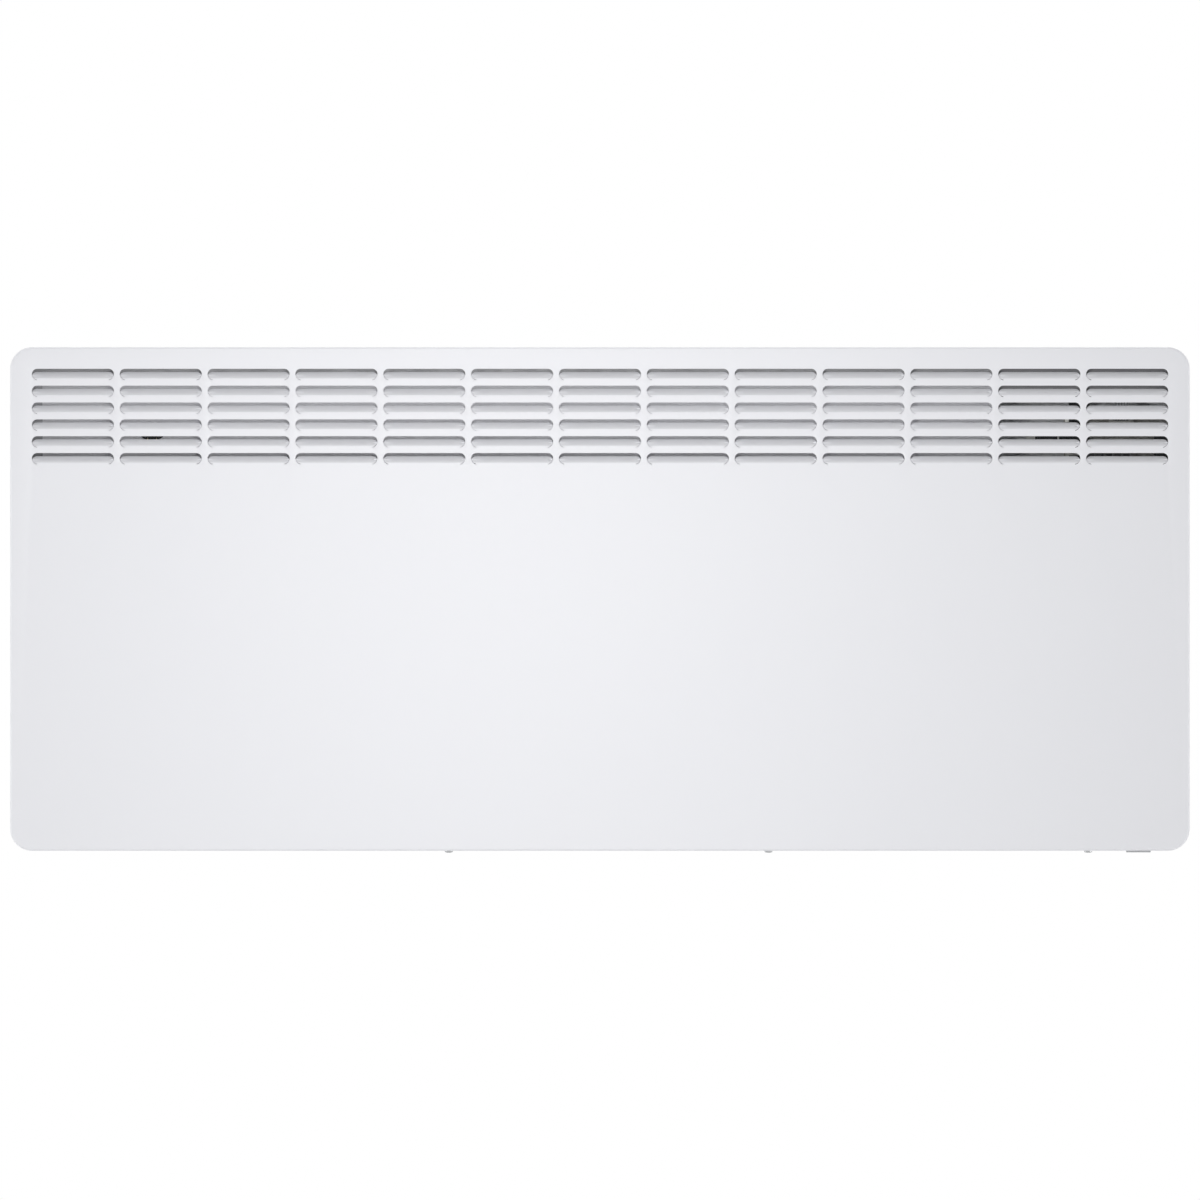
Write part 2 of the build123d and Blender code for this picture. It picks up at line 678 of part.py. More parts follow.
# ---- heating element: aluminium extrusion round a sheathed core ----------------------------------
element_start_x = duct_left_x + element_end_gap
element_length = partition_x - element_end_gap - element_start_x

fin_reach = Vector(element_fin_y, element_fin_z)
fin_angle = fin_reach.get_angle(Vector(1, 0))

with BuildPart() as element_fins:
    with BuildSketch(Plane.YZ.offset(element_start_x)):
        with Locations((element_y, element_z)):
            Circle(element_boss / 2)
            for angle in (fin_angle, -fin_angle):
                Rectangle(2 * fin_reach.length, element_fin_thickness, rotation=angle)
        with Locations(*[(element_y + side * element_fin_y, element_z + up * element_fin_z)
                         for side in (-1, 1) for up in (-1, 1)]):
            Rectangle(element_fin_thickness, element_foot)
        with Locations((element_y, element_z)):
            Circle(element_rod / 2 + core_gap, mode=Mode.SUBTRACT)
    extrude(amount=element_length)
element_fins.part.label = "element_fins"
export_step(element_fins.part, "parts/element_fins.step")

rod_start_x = duct_left_x - rod_reach
rod_end_x = partition_x + rod_reach

with BuildPart() as heater_rod:
    with BuildSketch(Plane.YZ.offset(rod_start_x)):
        with Locations((element_y, element_z)):
            Circle(element_rod / 2)
    extrude(amount=rod_end_x - rod_start_x)
heater_rod.part.label = "heater_rod"
export_step(heater_rod.part, "parts/heater_rod.step")


def insulator(x, inward):
    """Square ceramic bush in an end plate, its flange on the duct's side; inward is 1 or -1."""
    with BuildPart() as bush:
        with BuildSketch(Plane.YZ.offset(x - inward * insulator_reach)):
            with Locations((element_y, element_z)):
                Rectangle(insulator_body, insulator_body)
        extrude(amount=inward * (insulator_reach + chassis_sheet / 2 + insulator_flange_thickness))
        with BuildSketch(Plane.YZ.offset(x + inward * chassis_sheet / 2)):
            with Locations((element_y, element_z)):
                Rectangle(insulator_flange, insulator_flange)
        extrude(amount=inward * insulator_flange_thickness)
        with BuildSketch(Plane.YZ.offset(x)):
            with Locations((element_y, element_z)):
                Circle(element_rod / 2 + core_gap)
        extrude(amount=insulator_reach + insulator_flange, both=True, mode=Mode.SUBTRACT)
    return bush.part


with BuildPart() as insulator_left:
    add(insulator(duct_left_x, 1))
insulator_left.part.label = "insulator_left"
export_step(insulator_left.part, "parts/insulator_left.step")

with BuildPart() as insulator_right:
    add(insulator(partition_x, -1))
insulator_right.part.label = "insulator_right"
export_step(insulator_right.part, "parts/insulator_right.step")

# The cut-out sits on the deflector's steep face, between the knee and the turn.
deflector_start = Vector(duct_left_x + cutout_offset, *deflector_knee)
deflector_slope = Vector(duct_left_x + cutout_offset, *deflector_turn) - deflector_start
deflector_normal = Vector(0, -deflector_slope.Z, deflector_slope.Y).normalized()
deflector_share = (deflector_knee_drop - cutout_drop) / deflector_slope.Z
deflector_point = deflector_start + deflector_slope * deflector_share

cutout_seat = Plane(origin=deflector_point + deflector_normal * (duct_sheet / 2), x_dir=(1, 0, 0),
                    z_dir=deflector_normal)

with BuildPart() as thermal_cutout:
    with BuildSketch(cutout_seat):
        Rectangle(cutout_flange_length, cutout_flange_width)
    extrude(amount=cutout_flange_thickness)
    with BuildSketch(cutout_seat.offset(cutout_flange_thickness)):
        Circle(cutout_diameter / 2)
    extrude(amount=cutout_height - cutout_flange_thickness)
    with BuildSketch(cutout_seat.offset(cutout_height)):
        with GridLocations(cutout_tab_pitch, 1, 2, 1):
            Rectangle(cutout_tab_thickness, cutout_tab_width)
    extrude(amount=cutout_tab_length)
thermal_cutout.part.label = "thermal_cutout"
export_step(thermal_cutout.part, "parts/thermal_cutout.step")

# ---- flat sleeved leads from the element's pins to the electronics -------------------------------
def flat_lead(route, middle_z):
    """Flat lead along a route of XY points, standing on edge about the height middle_z."""
    with BuildPart() as lead:
        with BuildSketch(Plane.XY.offset(middle_z - lead_width / 2)):
            with BuildLine():
                FilletPolyline(*route, radius=lead_bend)
            trace(line_width=lead_thickness)
        extrude(amount=lead_width)
    return lead.part


terminal_side_x = terminal_place[0] - terminal_width / 2
long_lead_x = rod_start_x - lead_thickness / 2
short_lead_x = rod_end_x + lead_thickness / 2

with BuildPart() as element_lead_left:
    add(flat_lead([(long_lead_x, element_y - lead_width / 2), (long_lead_x, lead_y),
                   (terminal_side_x, lead_y)], element_z))
element_lead_left.part.label = "element_lead_left"
export_step(element_lead_left.part, "parts/element_lead_left.step")

with BuildPart() as element_lead_right:
    add(flat_lead([(short_lead_x, element_y - lead_width / 2), (short_lead_x, short_lead_y),
                   (terminal_side_x, short_lead_y)], element_z))
element_lead_right.part.label = "element_lead_right"
export_step(element_lead_right.part, "parts/element_lead_right.step")

# ---- control panel: housing, window, display, boards and keys ------------------------------------
housing_width = control_cut_width + 2 * control_rim
housing_depth = control_cut_depth + 2 * control_rim
control_plane = Plane(origin=(control_x, control_y, deck_z))       # x right, y to the wall, z up
key_places = [(key_centre_x + i * key_pitch_x / 2, j * key_pitch_y / 2) for j in (1, -1) for i in (-1, 1)]


def key_outline(margin):
    """Key cap's outline with bevelled corners, grown by margin all round."""
    with BuildSketch() as outline:
        Rectangle(key_width + 2 * margin, key_depth + 2 * margin)
        chamfer(outline.vertices(), key_bevel)
    return outline.sketch


with BuildPart() as control_housing:
    with BuildSketch(control_plane):
        Rectangle(housing_width, housing_depth)
    extrude(amount=-control_drop)
    offset(amount=-control_wall, openings=control_housing.faces().sort_by(Axis.Z)[0])
    with BuildSketch(control_plane):
        with Locations((window_x, 0)):
            Rectangle(window_width, window_depth)
    extrude(amount=-window_thickness, mode=Mode.SUBTRACT)
    with BuildSketch(control_plane):
        with Locations((window_x, 0)):
            Rectangle(window_width - 2 * window_ledge, window_depth - 2 * window_ledge)
        with Locations(*key_places):
            add(key_outline(key_gap))
    extrude(amount=-2 * control_wall, mode=Mode.SUBTRACT)
control_housing.part.label = "control_housing"
export_step(control_housing.part, "parts/control_housing.step")

with BuildPart() as display_window:
    with BuildSketch(control_plane):
        with Locations((window_x, 0)):
            Rectangle(window_width - 2 * window_gap, window_depth - 2 * window_gap)
    extrude(amount=-window_thickness)
display_window.part.label = "display_window"
export_step(display_window.part, "parts/display_window.step")

board_top_plane = control_plane.offset(-control_board_drop)
with BuildPart() as control_board:
    with BuildSketch(board_top_plane):
        Rectangle(housing_width - 2 * control_wall, housing_depth - 2 * control_wall)
    extrude(amount=-control_board_thickness)
control_board.part.label = "control_board"
export_step(control_board.part, "parts/control_board.step")

with BuildPart() as display_module:
    with BuildSketch(board_top_plane):
        with Locations((window_x, 0)):
            Rectangle(window_width - 2 * window_ledge, window_depth - 2 * window_ledge)
    extrude(amount=display_height)
display_module.part.label = "display_module"
export_step(display_module.part, "parts/display_module.step")

with BuildPart() as key_switches:
    with BuildSketch(board_top_plane):
        with Locations(*key_places):
            Rectangle(key_switch_size, key_switch_size)
    extrude(amount=key_switch_height)
key_switches.part.label = "key_switches"
export_step(key_switches.part, "parts/key_switches.step")

flange_top = -control_wall - key_play                   # from the deck's upper face
post_foot = -control_board_drop + key_switch_height + key_travel + key_over_travel


def key_cap(place):
    """Cap through the deck, the flange that keeps it in and the post over its switch."""
    with BuildPart() as cap:
        with BuildSketch(control_plane.offset(key_proud)):
            with Locations(place):
                add(key_outline(0))
        extrude(amount=flange_top - key_proud)
        with BuildSketch(control_plane.offset(flange_top)):
            with Locations(place):
                Rectangle(key_width + 2 * key_flange, key_depth + 2 * key_flange)
        extrude(amount=-key_flange_thickness)
        with BuildSketch(control_plane.offset(flange_top)):
            with Locations(place):
                Rectangle(key_post, key_post)
        extrude(amount=post_foot - flange_top)
    return cap.part


with BuildPart() as key_menu:
    add(key_cap(key_places[0]))
key_menu.part.label = "key_menu"
export_step(key_menu.part, "parts/key_menu.step")

with BuildPart() as key_plus:
    add(key_cap(key_places[1]))
key_plus.part.label = "key_plus"
export_step(key_plus.part, "parts/key_plus.step")

with BuildPart() as key_ok:
    add(key_cap(key_places[2]))
key_ok.part.label = "key_ok"
export_step(key_ok.part, "parts/key_ok.step")

with BuildPart() as key_minus:
    add(key_cap(key_places[3]))
key_minus.part.label = "key_minus"
export_step(key_minus.part, "parts/key_minus.step")

# ---- power board and what stands on it -----------------------------------------------------------
board_plane = Plane.XZ.offset(-board_face_y)            # x right, y up, normal towards the room
with BuildPart() as power_board:
    with BuildSketch(Plane.XZ.offset(-board_y)):
        with Locations((board_x, board_top_z)):
            Rectangle(board_width, board_height, align=(Align.CENTER, Align.MAX))
    extrude(amount=board_thickness)
power_board.part.label = "power_board"
export_step(power_board.part, "parts/power_board.step")

with BuildPart() as board_standoffs:
    with BuildSketch(Plane.XZ.offset(-panel_y)):
        with Locations((board_x, board_top_z - board_height / 2)):
            with GridLocations(board_width - 2 * standoff_inset, board_height - 2 * standoff_inset, 2, 2):
                Rectangle(standoff_width, standoff_width)
    extrude(amount=board_standoff)
board_standoffs.part.label = "board_standoffs"
export_step(board_standoffs.part, "parts/board_standoffs.step")

with BuildPart() as relays:
    with BuildSketch(board_plane):
        with Locations((board_x + relay_offset, board_top_z - relay_drop)):
            with GridLocations(relay_pitch, 1, relay_count, 1):
                Rectangle(relay_width, relay_height)
    extrude(amount=relay_depth)
relays.part.label = "relays"
export_step(relays.part, "parts/relays.step")

with BuildPart() as capacitor:
    with BuildSketch(board_plane):
        with Locations((board_x + capacitor_offset, board_top_z - capacitor_drop)):
            Rectangle(capacitor_width, capacitor_height)
    extrude(amount=capacitor_depth)
capacitor.part.label = "capacitor"
export_step(capacitor.part, "parts/capacitor.step")

sink_place = (board_x + sink_offset, board_top_z - sink_drop)
with BuildPart() as heat_sink:
    with BuildSketch(board_plane):
        with Locations(sink_place):
            Rectangle(sink_width, sink_height)
    extrude(amount=sink_base)
    with BuildSketch(board_plane):
        with Locations(sink_place):
            with GridLocations(sink_fin_pitch, 1, sink_fin_count, 1):
                Rectangle(sink_fin_thickness, sink_height)
    extrude(amount=sink_depth)
heat_sink.part.label = "heat_sink"
export_step(heat_sink.part, "parts/heat_sink.step")

ribbon_x = board_x + ribbon_offset
connector_z = board_top_z - connector_height / 2 - standoff_width / 4
with BuildPart() as ribbon_connector:
    with BuildSketch(board_plane):
        with Locations((ribbon_x, connector_z)):
            Rectangle(connector_width, connector_height)
    extrude(amount=connector_depth)
ribbon_connector.part.label = "ribbon_connector"
export_step(ribbon_connector.part, "parts/ribbon_connector.step")

ribbon_y = board_face_y - connector_depth
with BuildPart() as control_ribbon:
    with BuildSketch(Plane.YZ.offset(ribbon_x - ribbon_width / 2)):
        with BuildLine():
            FilletPolyline((ribbon_y, connector_z), (ribbon_y - 3 * ribbon_bend, connector_z),
                           (ribbon_y - 3 * ribbon_bend, control_board_z - control_board_thickness),
                           radius=ribbon_bend)
        trace(line_width=ribbon_thickness)
    extrude(amount=ribbon_width)
control_ribbon.part.label = "control_ribbon"
export_step(control_ribbon.part, "parts/control_ribbon.step")

# Sleeved leads from the control board down to a plug on the power board, with a branch to the left
# that ends in a loose service plug.
harness_x = board_x + harness_offset
harness_foot_z = board_top_z - harness_drop
branch_z = board_top_z - branch_drop
branch_end_x = harness_x - harness_width / 2 - branch_length
with BuildPart() as control_harness:
    with BuildSketch(board_plane.offset(harness_height - harness_thickness)):
        with Locations((harness_x, harness_foot_z)):
            Rectangle(harness_width, control_board_z - control_board_thickness - harness_foot_z,
                      align=(Align.CENTER, Align.MIN))
        with Locations((harness_x, branch_z)):
            Rectangle(harness_x - branch_end_x, branch_width, align=(Align.MAX, Align.CENTER))
    extrude(amount=harness_thickness)
control_harness.part.label = "control_harness"
export_step(control_harness.part, "parts/control_harness.step")

with BuildPart() as power_plug:
    with BuildSketch(board_plane):
        with Locations((harness_x, harness_foot_z)):
            Rectangle(plug_width, plug_height, align=(Align.CENTER, Align.MAX))
    extrude(amount=harness_height)
power_plug.part.label = "power_plug"
export_step(power_plug.part, "parts/power_plug.step")

with BuildPart() as service_plug:
    with BuildSketch(board_plane.offset(harness_height - harness_thickness)):
        with Locations((branch_end_x, branch_z)):
            Rectangle(plug_width, plug_height, align=(Align.MAX, Align.CENTER))
    extrude(amount=harness_thickness)
service_plug.part.label = "service_plug"
export_step(service_plug.part, "parts/service_plug.step")

with BuildPart() as terminal_block:
    with BuildSketch(Plane.XZ.offset(-panel_y)):
        with Locations(terminal_place):
            Rectangle(terminal_width, terminal_height)
    extrude(amount=terminal_depth)
    with BuildSketch(Plane.XZ.offset(-panel_y + terminal_depth)):
        with Locations(terminal_place):
            with GridLocations(terminal_width / terminal_poles, 1, terminal_poles, 1):
                Rectangle(terminal_well, terminal_well)
    extrude(amount=-terminal_well_depth, mode=Mode.SUBTRACT)
terminal_block.part.label = "terminal_block"
export_step(terminal_block.part, "parts/terminal_block.step")

with BuildPart() as cable_gland:
    with BuildSketch(Plane.XZ.offset(wall_gap)):
        with Locations(gland_place):
            RegularPolygon(gland_flange / 2, gland_sides)
    extrude(amount=-gland_flange_thickness)
    with BuildSketch(Plane.XZ.offset(wall_gap)):
        with Locations(gland_place):
            RegularPolygon(gland_neck / 2, gland_sides)
    extrude(amount=rear_sheet + gland_reach)
    with BuildSketch(Plane.XZ.offset(wall_gap)):
        with Locations(gland_place):
            Circle(gland_bore / 2)
    extrude(amount=rear_sheet + gland_reach + gland_flange_thickness, both=True, mode=Mode.SUBTRACT)
cable_gland.part.label = "cable_gland"
export_step(cable_gland.part, "parts/cable_gland.step")

earth_place = (gland_place[0] + earth_offset, gland_place[1] - earth_drop)
with BuildPart() as earth_terminal:
    with BuildSketch(Plane.XZ.offset(-panel_y)):
        with Locations(earth_place):
            Rectangle(earth_width, earth_foot, align=(Align.CENTER, Align.MIN))
    extrude(amount=earth_thickness)
    with BuildSketch(Plane.XZ.offset(-panel_y)):
        with Locations(earth_place):
            Rectangle(earth_width, earth_thickness, align=(Align.CENTER, Align.MIN))
    extrude(amount=earth_length)
earth_terminal.part.label = "earth_terminal"
export_step(earth_terminal.part, "parts/earth_terminal.step")

# ---- room temperature sensor in a clip over a hole in the inlet panel ----------------------------
with BuildPart() as sensor_clip:
    with BuildSketch(Plane.XY.offset(floor_z)):
        with Locations((sensor_x, sensor_y)):
            Rectangle(sensor_clip_width, sensor_clip_depth)
    extrude(amount=sensor_clip_height)
    with BuildSketch(Plane.XY.offset(floor_z)):
        with Locations((sensor_x, sensor_y)):
            Rectangle(sensor_clip_width / 2, sensor_clip_depth / 2)
    extrude(amount=-chassis_sheet)
    with BuildSketch(Plane.XY.offset(floor_z + sensor_clip_height)):
        with Locations((sensor_x, sensor_y)):
            Rectangle(sensor_clip_width, sensor_diameter + 2 * sensor_gap)
    extrude(amount=-sensor_diameter - sensor_gap, mode=Mode.SUBTRACT)
sensor_clip.part.label = "sensor_clip"
export_step(sensor_clip.part, "parts/sensor_clip.step")

with BuildPart() as room_sensor:
    with BuildSketch(Plane.YZ.offset(sensor_x - sensor_length / 2)):
        with Locations((sensor_y, floor_z + sensor_clip_height - sensor_diameter / 2)):
            Rectangle(sensor_diameter, sensor_diameter)
    extrude(amount=sensor_length)
room_sensor.part.label = "room_sensor"
export_step(room_sensor.part, "parts/room_sensor.step")

# ---- mains switch in the underside ---------------------------------------------------------------
# The rocker rests with its right end pressed in; its ends never reach below the bezel.
half_throw = rocker_throw / 2
rocker_end = Vector(rocker_length / 2, -rocker_edge)
rocker_low = -rocker_end.rotate(Axis.Z, -half_throw).Y
rocker_wide = rocker_end.rotate(Axis.Z, half_throw).X
rocker_high = Vector(rocker_length / 2, rocker_rise).rotate(Axis.Z, half_throw).Y
bezel_z = bottom_z - switch_bezel_proud
pivot_z = bezel_z + rocker_sink + rocker_low
pivot_plane = Plane(origin=(switch_x, switch_y, pivot_z), x_dir=(1, 0, 0), z_dir=(0, -1, 0))
rocker_plane = Plane(origin=pivot_plane.origin, x_dir=Vector(1, 0, 0).rotate(Axis.Y, -half_throw),
                     z_dir=(0, -1, 0))

with BuildPart() as switch_rocker:
    with BuildSketch(rocker_plane):
        with BuildLine():
            Polyline((-rocker_length / 2, -rocker_edge), (0, -rocker_edge + rocker_dip),
                     (rocker_length / 2, -rocker_edge), (rocker_length / 2, rocker_rise),
                     (-rocker_length / 2, rocker_rise), close=True)
        make_face()
    extrude(amount=rocker_depth / 2, both=True)
    with BuildSketch(pivot_plane):
        Circle(axle_diameter / 2)
    extrude(amount=rocker_depth / 2 + axle_length, both=True)
switch_rocker.part.label = "switch_rocker"
export_step(switch_rocker.part, "parts/switch_rocker.step")

with BuildPart() as switch_housing:
    with BuildSketch(Plane.XY.offset(bezel_z)):
        with Locations((switch_x, switch_y)):
            Rectangle(switch_bezel_width, switch_bezel_depth)
    extrude(amount=inside_bottom_z - bezel_z)
    with BuildSketch(Plane.XY.offset(inside_bottom_z)):
        with Locations((switch_x, switch_y)):
            Rectangle(switch_body_width, switch_body_depth)
    extrude(amount=switch_body_height)
    with BuildSketch(Plane.XY.offset(inside_bottom_z + switch_body_height)):
        with Locations((switch_x, switch_y)):
            with GridLocations(blade_pitch, 1, blade_count, 1):
                Rectangle(blade_thickness, blade_width)
    extrude(amount=blade_length)
    with BuildSketch(Plane.XY.offset(bezel_z)):
        with Locations((switch_x, switch_y)):
            Rectangle(2 * (rocker_wide + rocker_clear), rocker_depth + 2 * rocker_side_clear)
    extrude(amount=pivot_z + rocker_high + rocker_clear - bezel_z, mode=Mode.SUBTRACT)
    with BuildSketch(pivot_plane):
        Circle(axle_diameter / 2 + axle_gap)
    extrude(amount=rocker_depth / 2 + axle_length + axle_gap, both=True, mode=Mode.SUBTRACT)
switch_housing.part.label = "switch_housing"
export_step(switch_housing.part, "parts/switch_housing.step")
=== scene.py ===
import json
import math

import bmesh
import bpy
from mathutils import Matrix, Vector


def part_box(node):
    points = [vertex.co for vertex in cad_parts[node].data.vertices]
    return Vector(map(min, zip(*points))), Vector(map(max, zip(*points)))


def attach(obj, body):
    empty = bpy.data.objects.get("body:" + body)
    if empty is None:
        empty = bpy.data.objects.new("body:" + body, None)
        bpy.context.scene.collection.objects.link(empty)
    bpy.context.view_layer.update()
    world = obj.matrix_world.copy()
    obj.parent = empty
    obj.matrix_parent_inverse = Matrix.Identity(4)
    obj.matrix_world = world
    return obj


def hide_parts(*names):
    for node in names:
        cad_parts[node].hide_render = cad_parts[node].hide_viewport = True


# Looks of a wall-hung electric convector heater.  Metres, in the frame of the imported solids:
# X to the right, Y into the wall, Z up, with the wall at y = 0.

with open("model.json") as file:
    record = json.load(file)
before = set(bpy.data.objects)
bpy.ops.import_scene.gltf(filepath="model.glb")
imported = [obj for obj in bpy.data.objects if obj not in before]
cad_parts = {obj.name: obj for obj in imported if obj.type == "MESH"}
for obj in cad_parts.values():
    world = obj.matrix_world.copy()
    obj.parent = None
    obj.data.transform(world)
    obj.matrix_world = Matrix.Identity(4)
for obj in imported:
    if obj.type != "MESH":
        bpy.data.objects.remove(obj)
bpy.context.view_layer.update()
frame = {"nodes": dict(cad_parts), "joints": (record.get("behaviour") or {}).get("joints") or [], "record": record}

MM = 0.001


# ---- sizes that this script shares with the solids -----------------------------------------------
cover_low, cover_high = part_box("front_cover")
FRONT_Y = cover_low.y
COVER_BACK_Y = cover_high.y
TOP_Z = cover_high.z
BOTTOM_Z = cover_low.z
HALF_WIDTH = cover_high.x
HALF_HEIGHT = (TOP_Z - BOTTOM_Z) / 2
CORNER = 19.5 * MM
SHEET = 0.8 * MM
BEND = 1.8 * MM                # bend between the cover's front and sides
FLANGE = 30 * MM               # cover's bottom flange, from the front

COLUMNS = 13
ROWS = 6
PITCH_X = 78.2 * MM
PITCH_Z = 15.0 * MM
TOP_MARGIN = 19.2 * MM
LOUVRE_WIDTH = 73.0 * MM
LOUVRE_CORNER = 4.7 * MM       # rounding of the opening's upper corners
LOUVRE_HOOK = 5.6 * MM         # rounding of the cut below them
LOUVRE_TURN = 79               # degrees that the cut turns in before it ends
LOUVRE_END_GAP = 0.5 * MM      # cut between the flap and the sheet, at its end
LOUVRE_SIDE_GAP = 0.26 * MM    # the same at the flap's side
LOUVRE_SLIT = 2.8 * MM         # open height above the flap
LOUVRE_DEPTH = 5.0 * MM
LOUVRE_FOLD = 9.0 * MM         # opening's top down to the fold
LOUVRE_BEND = 0.9 * MM         # length of the soft bend at the fold
LOUVRE_CURL = 0.3              # how much of the flap's slope comes from its curve
LOUVRE_ROLL = 0.12 * MM        # how far the opening's cut edge is rolled in

housing_low, housing_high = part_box("control_housing")
CUT_CENTRE = (housing_low + housing_high) / 2      # control panel's cut-out in the top
CUT_LENGTH = 124 * MM
CUT_WIDTH = 44 * MM
CUT_CORNER = 5 * MM

SCREW_X = (-134.7 * MM, 150.05 * MM, 434.8 * MM)
SCREW_Y = -86.0 * MM

DEFLECTOR_FOOT = Vector((0, -68.0 * MM, 122.0 * MM))     # lower end of its slope behind the grille
DEFLECTOR_HEAD = Vector((0, -84.0 * MM, 200.0 * MM))     # upper end
DEFLECTOR_SHEET = 0.5 * MM     # its thickness


# ---- fineness of the meshes ----------------------------------------------------------------------
CALM = 0.6 * MM                # flat strip beside a bend, so that the shading of the bend ends there
COVER_CORNER_STEPS = 12
COVER_BEND_STEPS = 6
CUT_CORNER_STEPS = 8
HOOK_STEPS = 7                 # along the opening's cut below an upper corner
OPENING_CORNER_STEPS = 9
FLAP_SIDE_STEPS = 12
FLAP_SIDE_END = 12             # degrees short of upright where the flap's own corner takes over
FLAP_CORNER_STEPS = 7
FLAP_COLUMNS = 16              # faces across a flap
SHARP_TURN = math.radians(38)  # edges that turn more than this are shaded sharp
BREAK_TURN = math.radians(40)  # edges that turn more than this are broken, where a piece asks for it
BREAK_STEPS = 2


# ---- node helpers --------------------------------------------------------------------------------
NOISE_SPAN = (0.3, 0.7)        # most of a noise lies between these
WHOLE_SPAN = (0, 1)
FALLING = (1, 0)


class Material:
    """A node material around one Principled shader. Texture scales are for each metre."""

    def __init__(self, name, color, roughness, metallic=0.0):
        self.material = bpy.data.materials.new(name)
        self.material.use_nodes = True
        self.tree = self.material.node_tree
        self.shader = self.tree.nodes["Principled BSDF"]
        self.set("Base Color", (*color, 1))
        self.set("Roughness", roughness)
        self.set("Metallic", metallic)
        self.place = self.add("ShaderNodeTexCoord").outputs["Object"]
        self.normal = None

    def set(self, socket, value):
        """A value of the shader that is the same all over the surface."""
        self.shader.inputs[socket].default_value = value

    def add(self, kind, **settings):
        """A new node; each setting is a property of the node or the value of an input."""
        node = self.tree.nodes.new(kind)
        for key, value in settings.items():
            if hasattr(node, key):
                setattr(node, key, value)
            else:
                node.inputs[key].default_value = value
        return node

    def link(self, out, into):
        self.tree.links.new(out, into)

    def stretched(self, scale):
        """The place, scaled by a factor for each axis."""
        node = self.add("ShaderNodeMapping", Scale=scale)
        self.link(self.place, node.inputs["Vector"])
        return node.outputs["Vector"]

    def texture(self, kind, vector=None, **settings):
        """A texture node that follows the place, or another vector."""
        node = self.add(kind, **settings)
        self.link(vector or self.place, node.inputs["Vector"])
        return node

    def noise(self, scale, detail=2.0, rough=0.5, vector=None):
        node = self.texture("ShaderNodeTexNoise", vector, Scale=scale, Detail=detail, Roughness=rough)
        return node.outputs["Fac"]

    def cells(self, scale, vector=None, feature="F1"):
        return self.texture("ShaderNodeTexVoronoi", vector, feature=feature, Scale=scale)

    def tracks(self, scale, span):
        """1 on a net of fine lines like copper tracks, 0 between them."""
        cells = self.cells(scale, self.stretched((1, 1, 1.6)), "DISTANCE_TO_EDGE")
        return self.ramp(cells.outputs["Distance"], span, FALLING)

    def ramp(self, value, span, result=WHOLE_SPAN):
        """The value, taken from its span to the result's."""
        node = self.add("ShaderNodeMapRange")
        for key, number in zip(("From Min", "From Max", "To Min", "To Max"), (*span, *result)):
            node.inputs[key].default_value = number
        self.link(value, node.inputs["Value"])
        return node.outputs["Result"]

    def blend(self, value, first, second):
        """Makes the base colour go from first to second with the value, and returns the mixing node."""
        mix = self.add("ShaderNodeMix", data_type="RGBA")
        mix.inputs["A"].default_value = (*first, 1)
        mix.inputs["B"].default_value = (*second, 1)
        self.link(value, mix.inputs["Factor"])
        self.link(mix.outputs["Result"], self.shader.inputs["Base Color"])
        return mix

    def bump(self, value, distance, strength):
        """Adds one more layer of relief to the surface."""
        node = self.add("ShaderNodeBump", Distance=distance, Strength=strength)
        self.link(value, node.inputs["Height"])
        if self.normal:
            self.link(self.normal, node.inputs["Normal"])
        self.normal = node.outputs["Normal"]
        self.link(self.normal, self.shader.inputs["Normal"])

    def rough(self, value, smooth, coarse, span=NOISE_SPAN):
        """Makes the roughness go from smooth to coarse as the value crosses its span."""
        self.link(self.ramp(value, span, (smooth, coarse)), self.shader.inputs["Roughness"])


def shade(tone, factor, lift=0.0):
    """A tone made darker or lighter."""
    return tuple(min(1, factor * part + lift) for part in tone)


# ---- materials -----------------------------------------------------------------------------------
def powder_coat():
    """Satin white powder coat with fine orange peel."""
    m = Material("powder_coat", (0.862, 0.867, 0.90), roughness=0.42)
    m.set("Specular IOR Level", 0.35)
    m.blend(m.noise(7, detail=3), (0.857, 0.862, 0.896), (0.867, 0.872, 0.904))
    m.rough(m.noise(300), 0.38, 0.46)
    m.bump(m.noise(900, detail=3), 0.03 * MM, 0.35)
    return m.material


def galvanised(name, tone, metallic, spangle):
    """Hot-dip galvanised sheet: crystals that differ in tone and gloss, and faint rolling lines."""
    roughness = 0.5
    m = Material(name, tone, roughness, metallic)
    spread = m.add("ShaderNodeSeparateColor")
    m.link(m.cells(spangle).outputs["Color"], spread.inputs["Color"])
    m.blend(spread.outputs["Red"], shade(tone, 0.88), tone)
    m.rough(spread.outputs["Green"], roughness - 0.07, roughness + 0.08, WHOLE_SPAN)
    rolled = m.stretched((1, 30, 30))
    m.bump(m.noise(40, vector=rolled), 0.2 * MM, 0.15)
    m.bump(m.noise(1500), 0.02 * MM, 0.3)
    return m


def painted_light_sheet():
    """Galvanised sheet, painted brighter at its foot as painted light where little light reaches, and darker
    towards its top edge.

    Its crystals show in the gloss alone.
    """
    bright, clean, darker_top = (0.95, 0.95, 0.975), (0.80, 0.80, 0.825), (0.42, 0.42, 0.43)
    foot_heights, head_heights = (130 * MM, 152 * MM), (185 * MM, 202 * MM)
    m = galvanised("painted_light_sheet", clean, metallic=0.15, spangle=90)
    split = m.add("ShaderNodeSeparateXYZ")
    m.link(m.place, split.inputs["Vector"])
    # painted light: the foot is made brighter than the rest of the sheet, where little light reaches it
    foot = m.blend(m.ramp(split.outputs["Z"], foot_heights), bright, clean)
    # the sheet turns darker towards its top edge
    head = m.blend(m.ramp(split.outputs["Z"], head_heights), clean, darker_top)
    m.link(foot.outputs["Result"], head.inputs["A"])
    return m.material


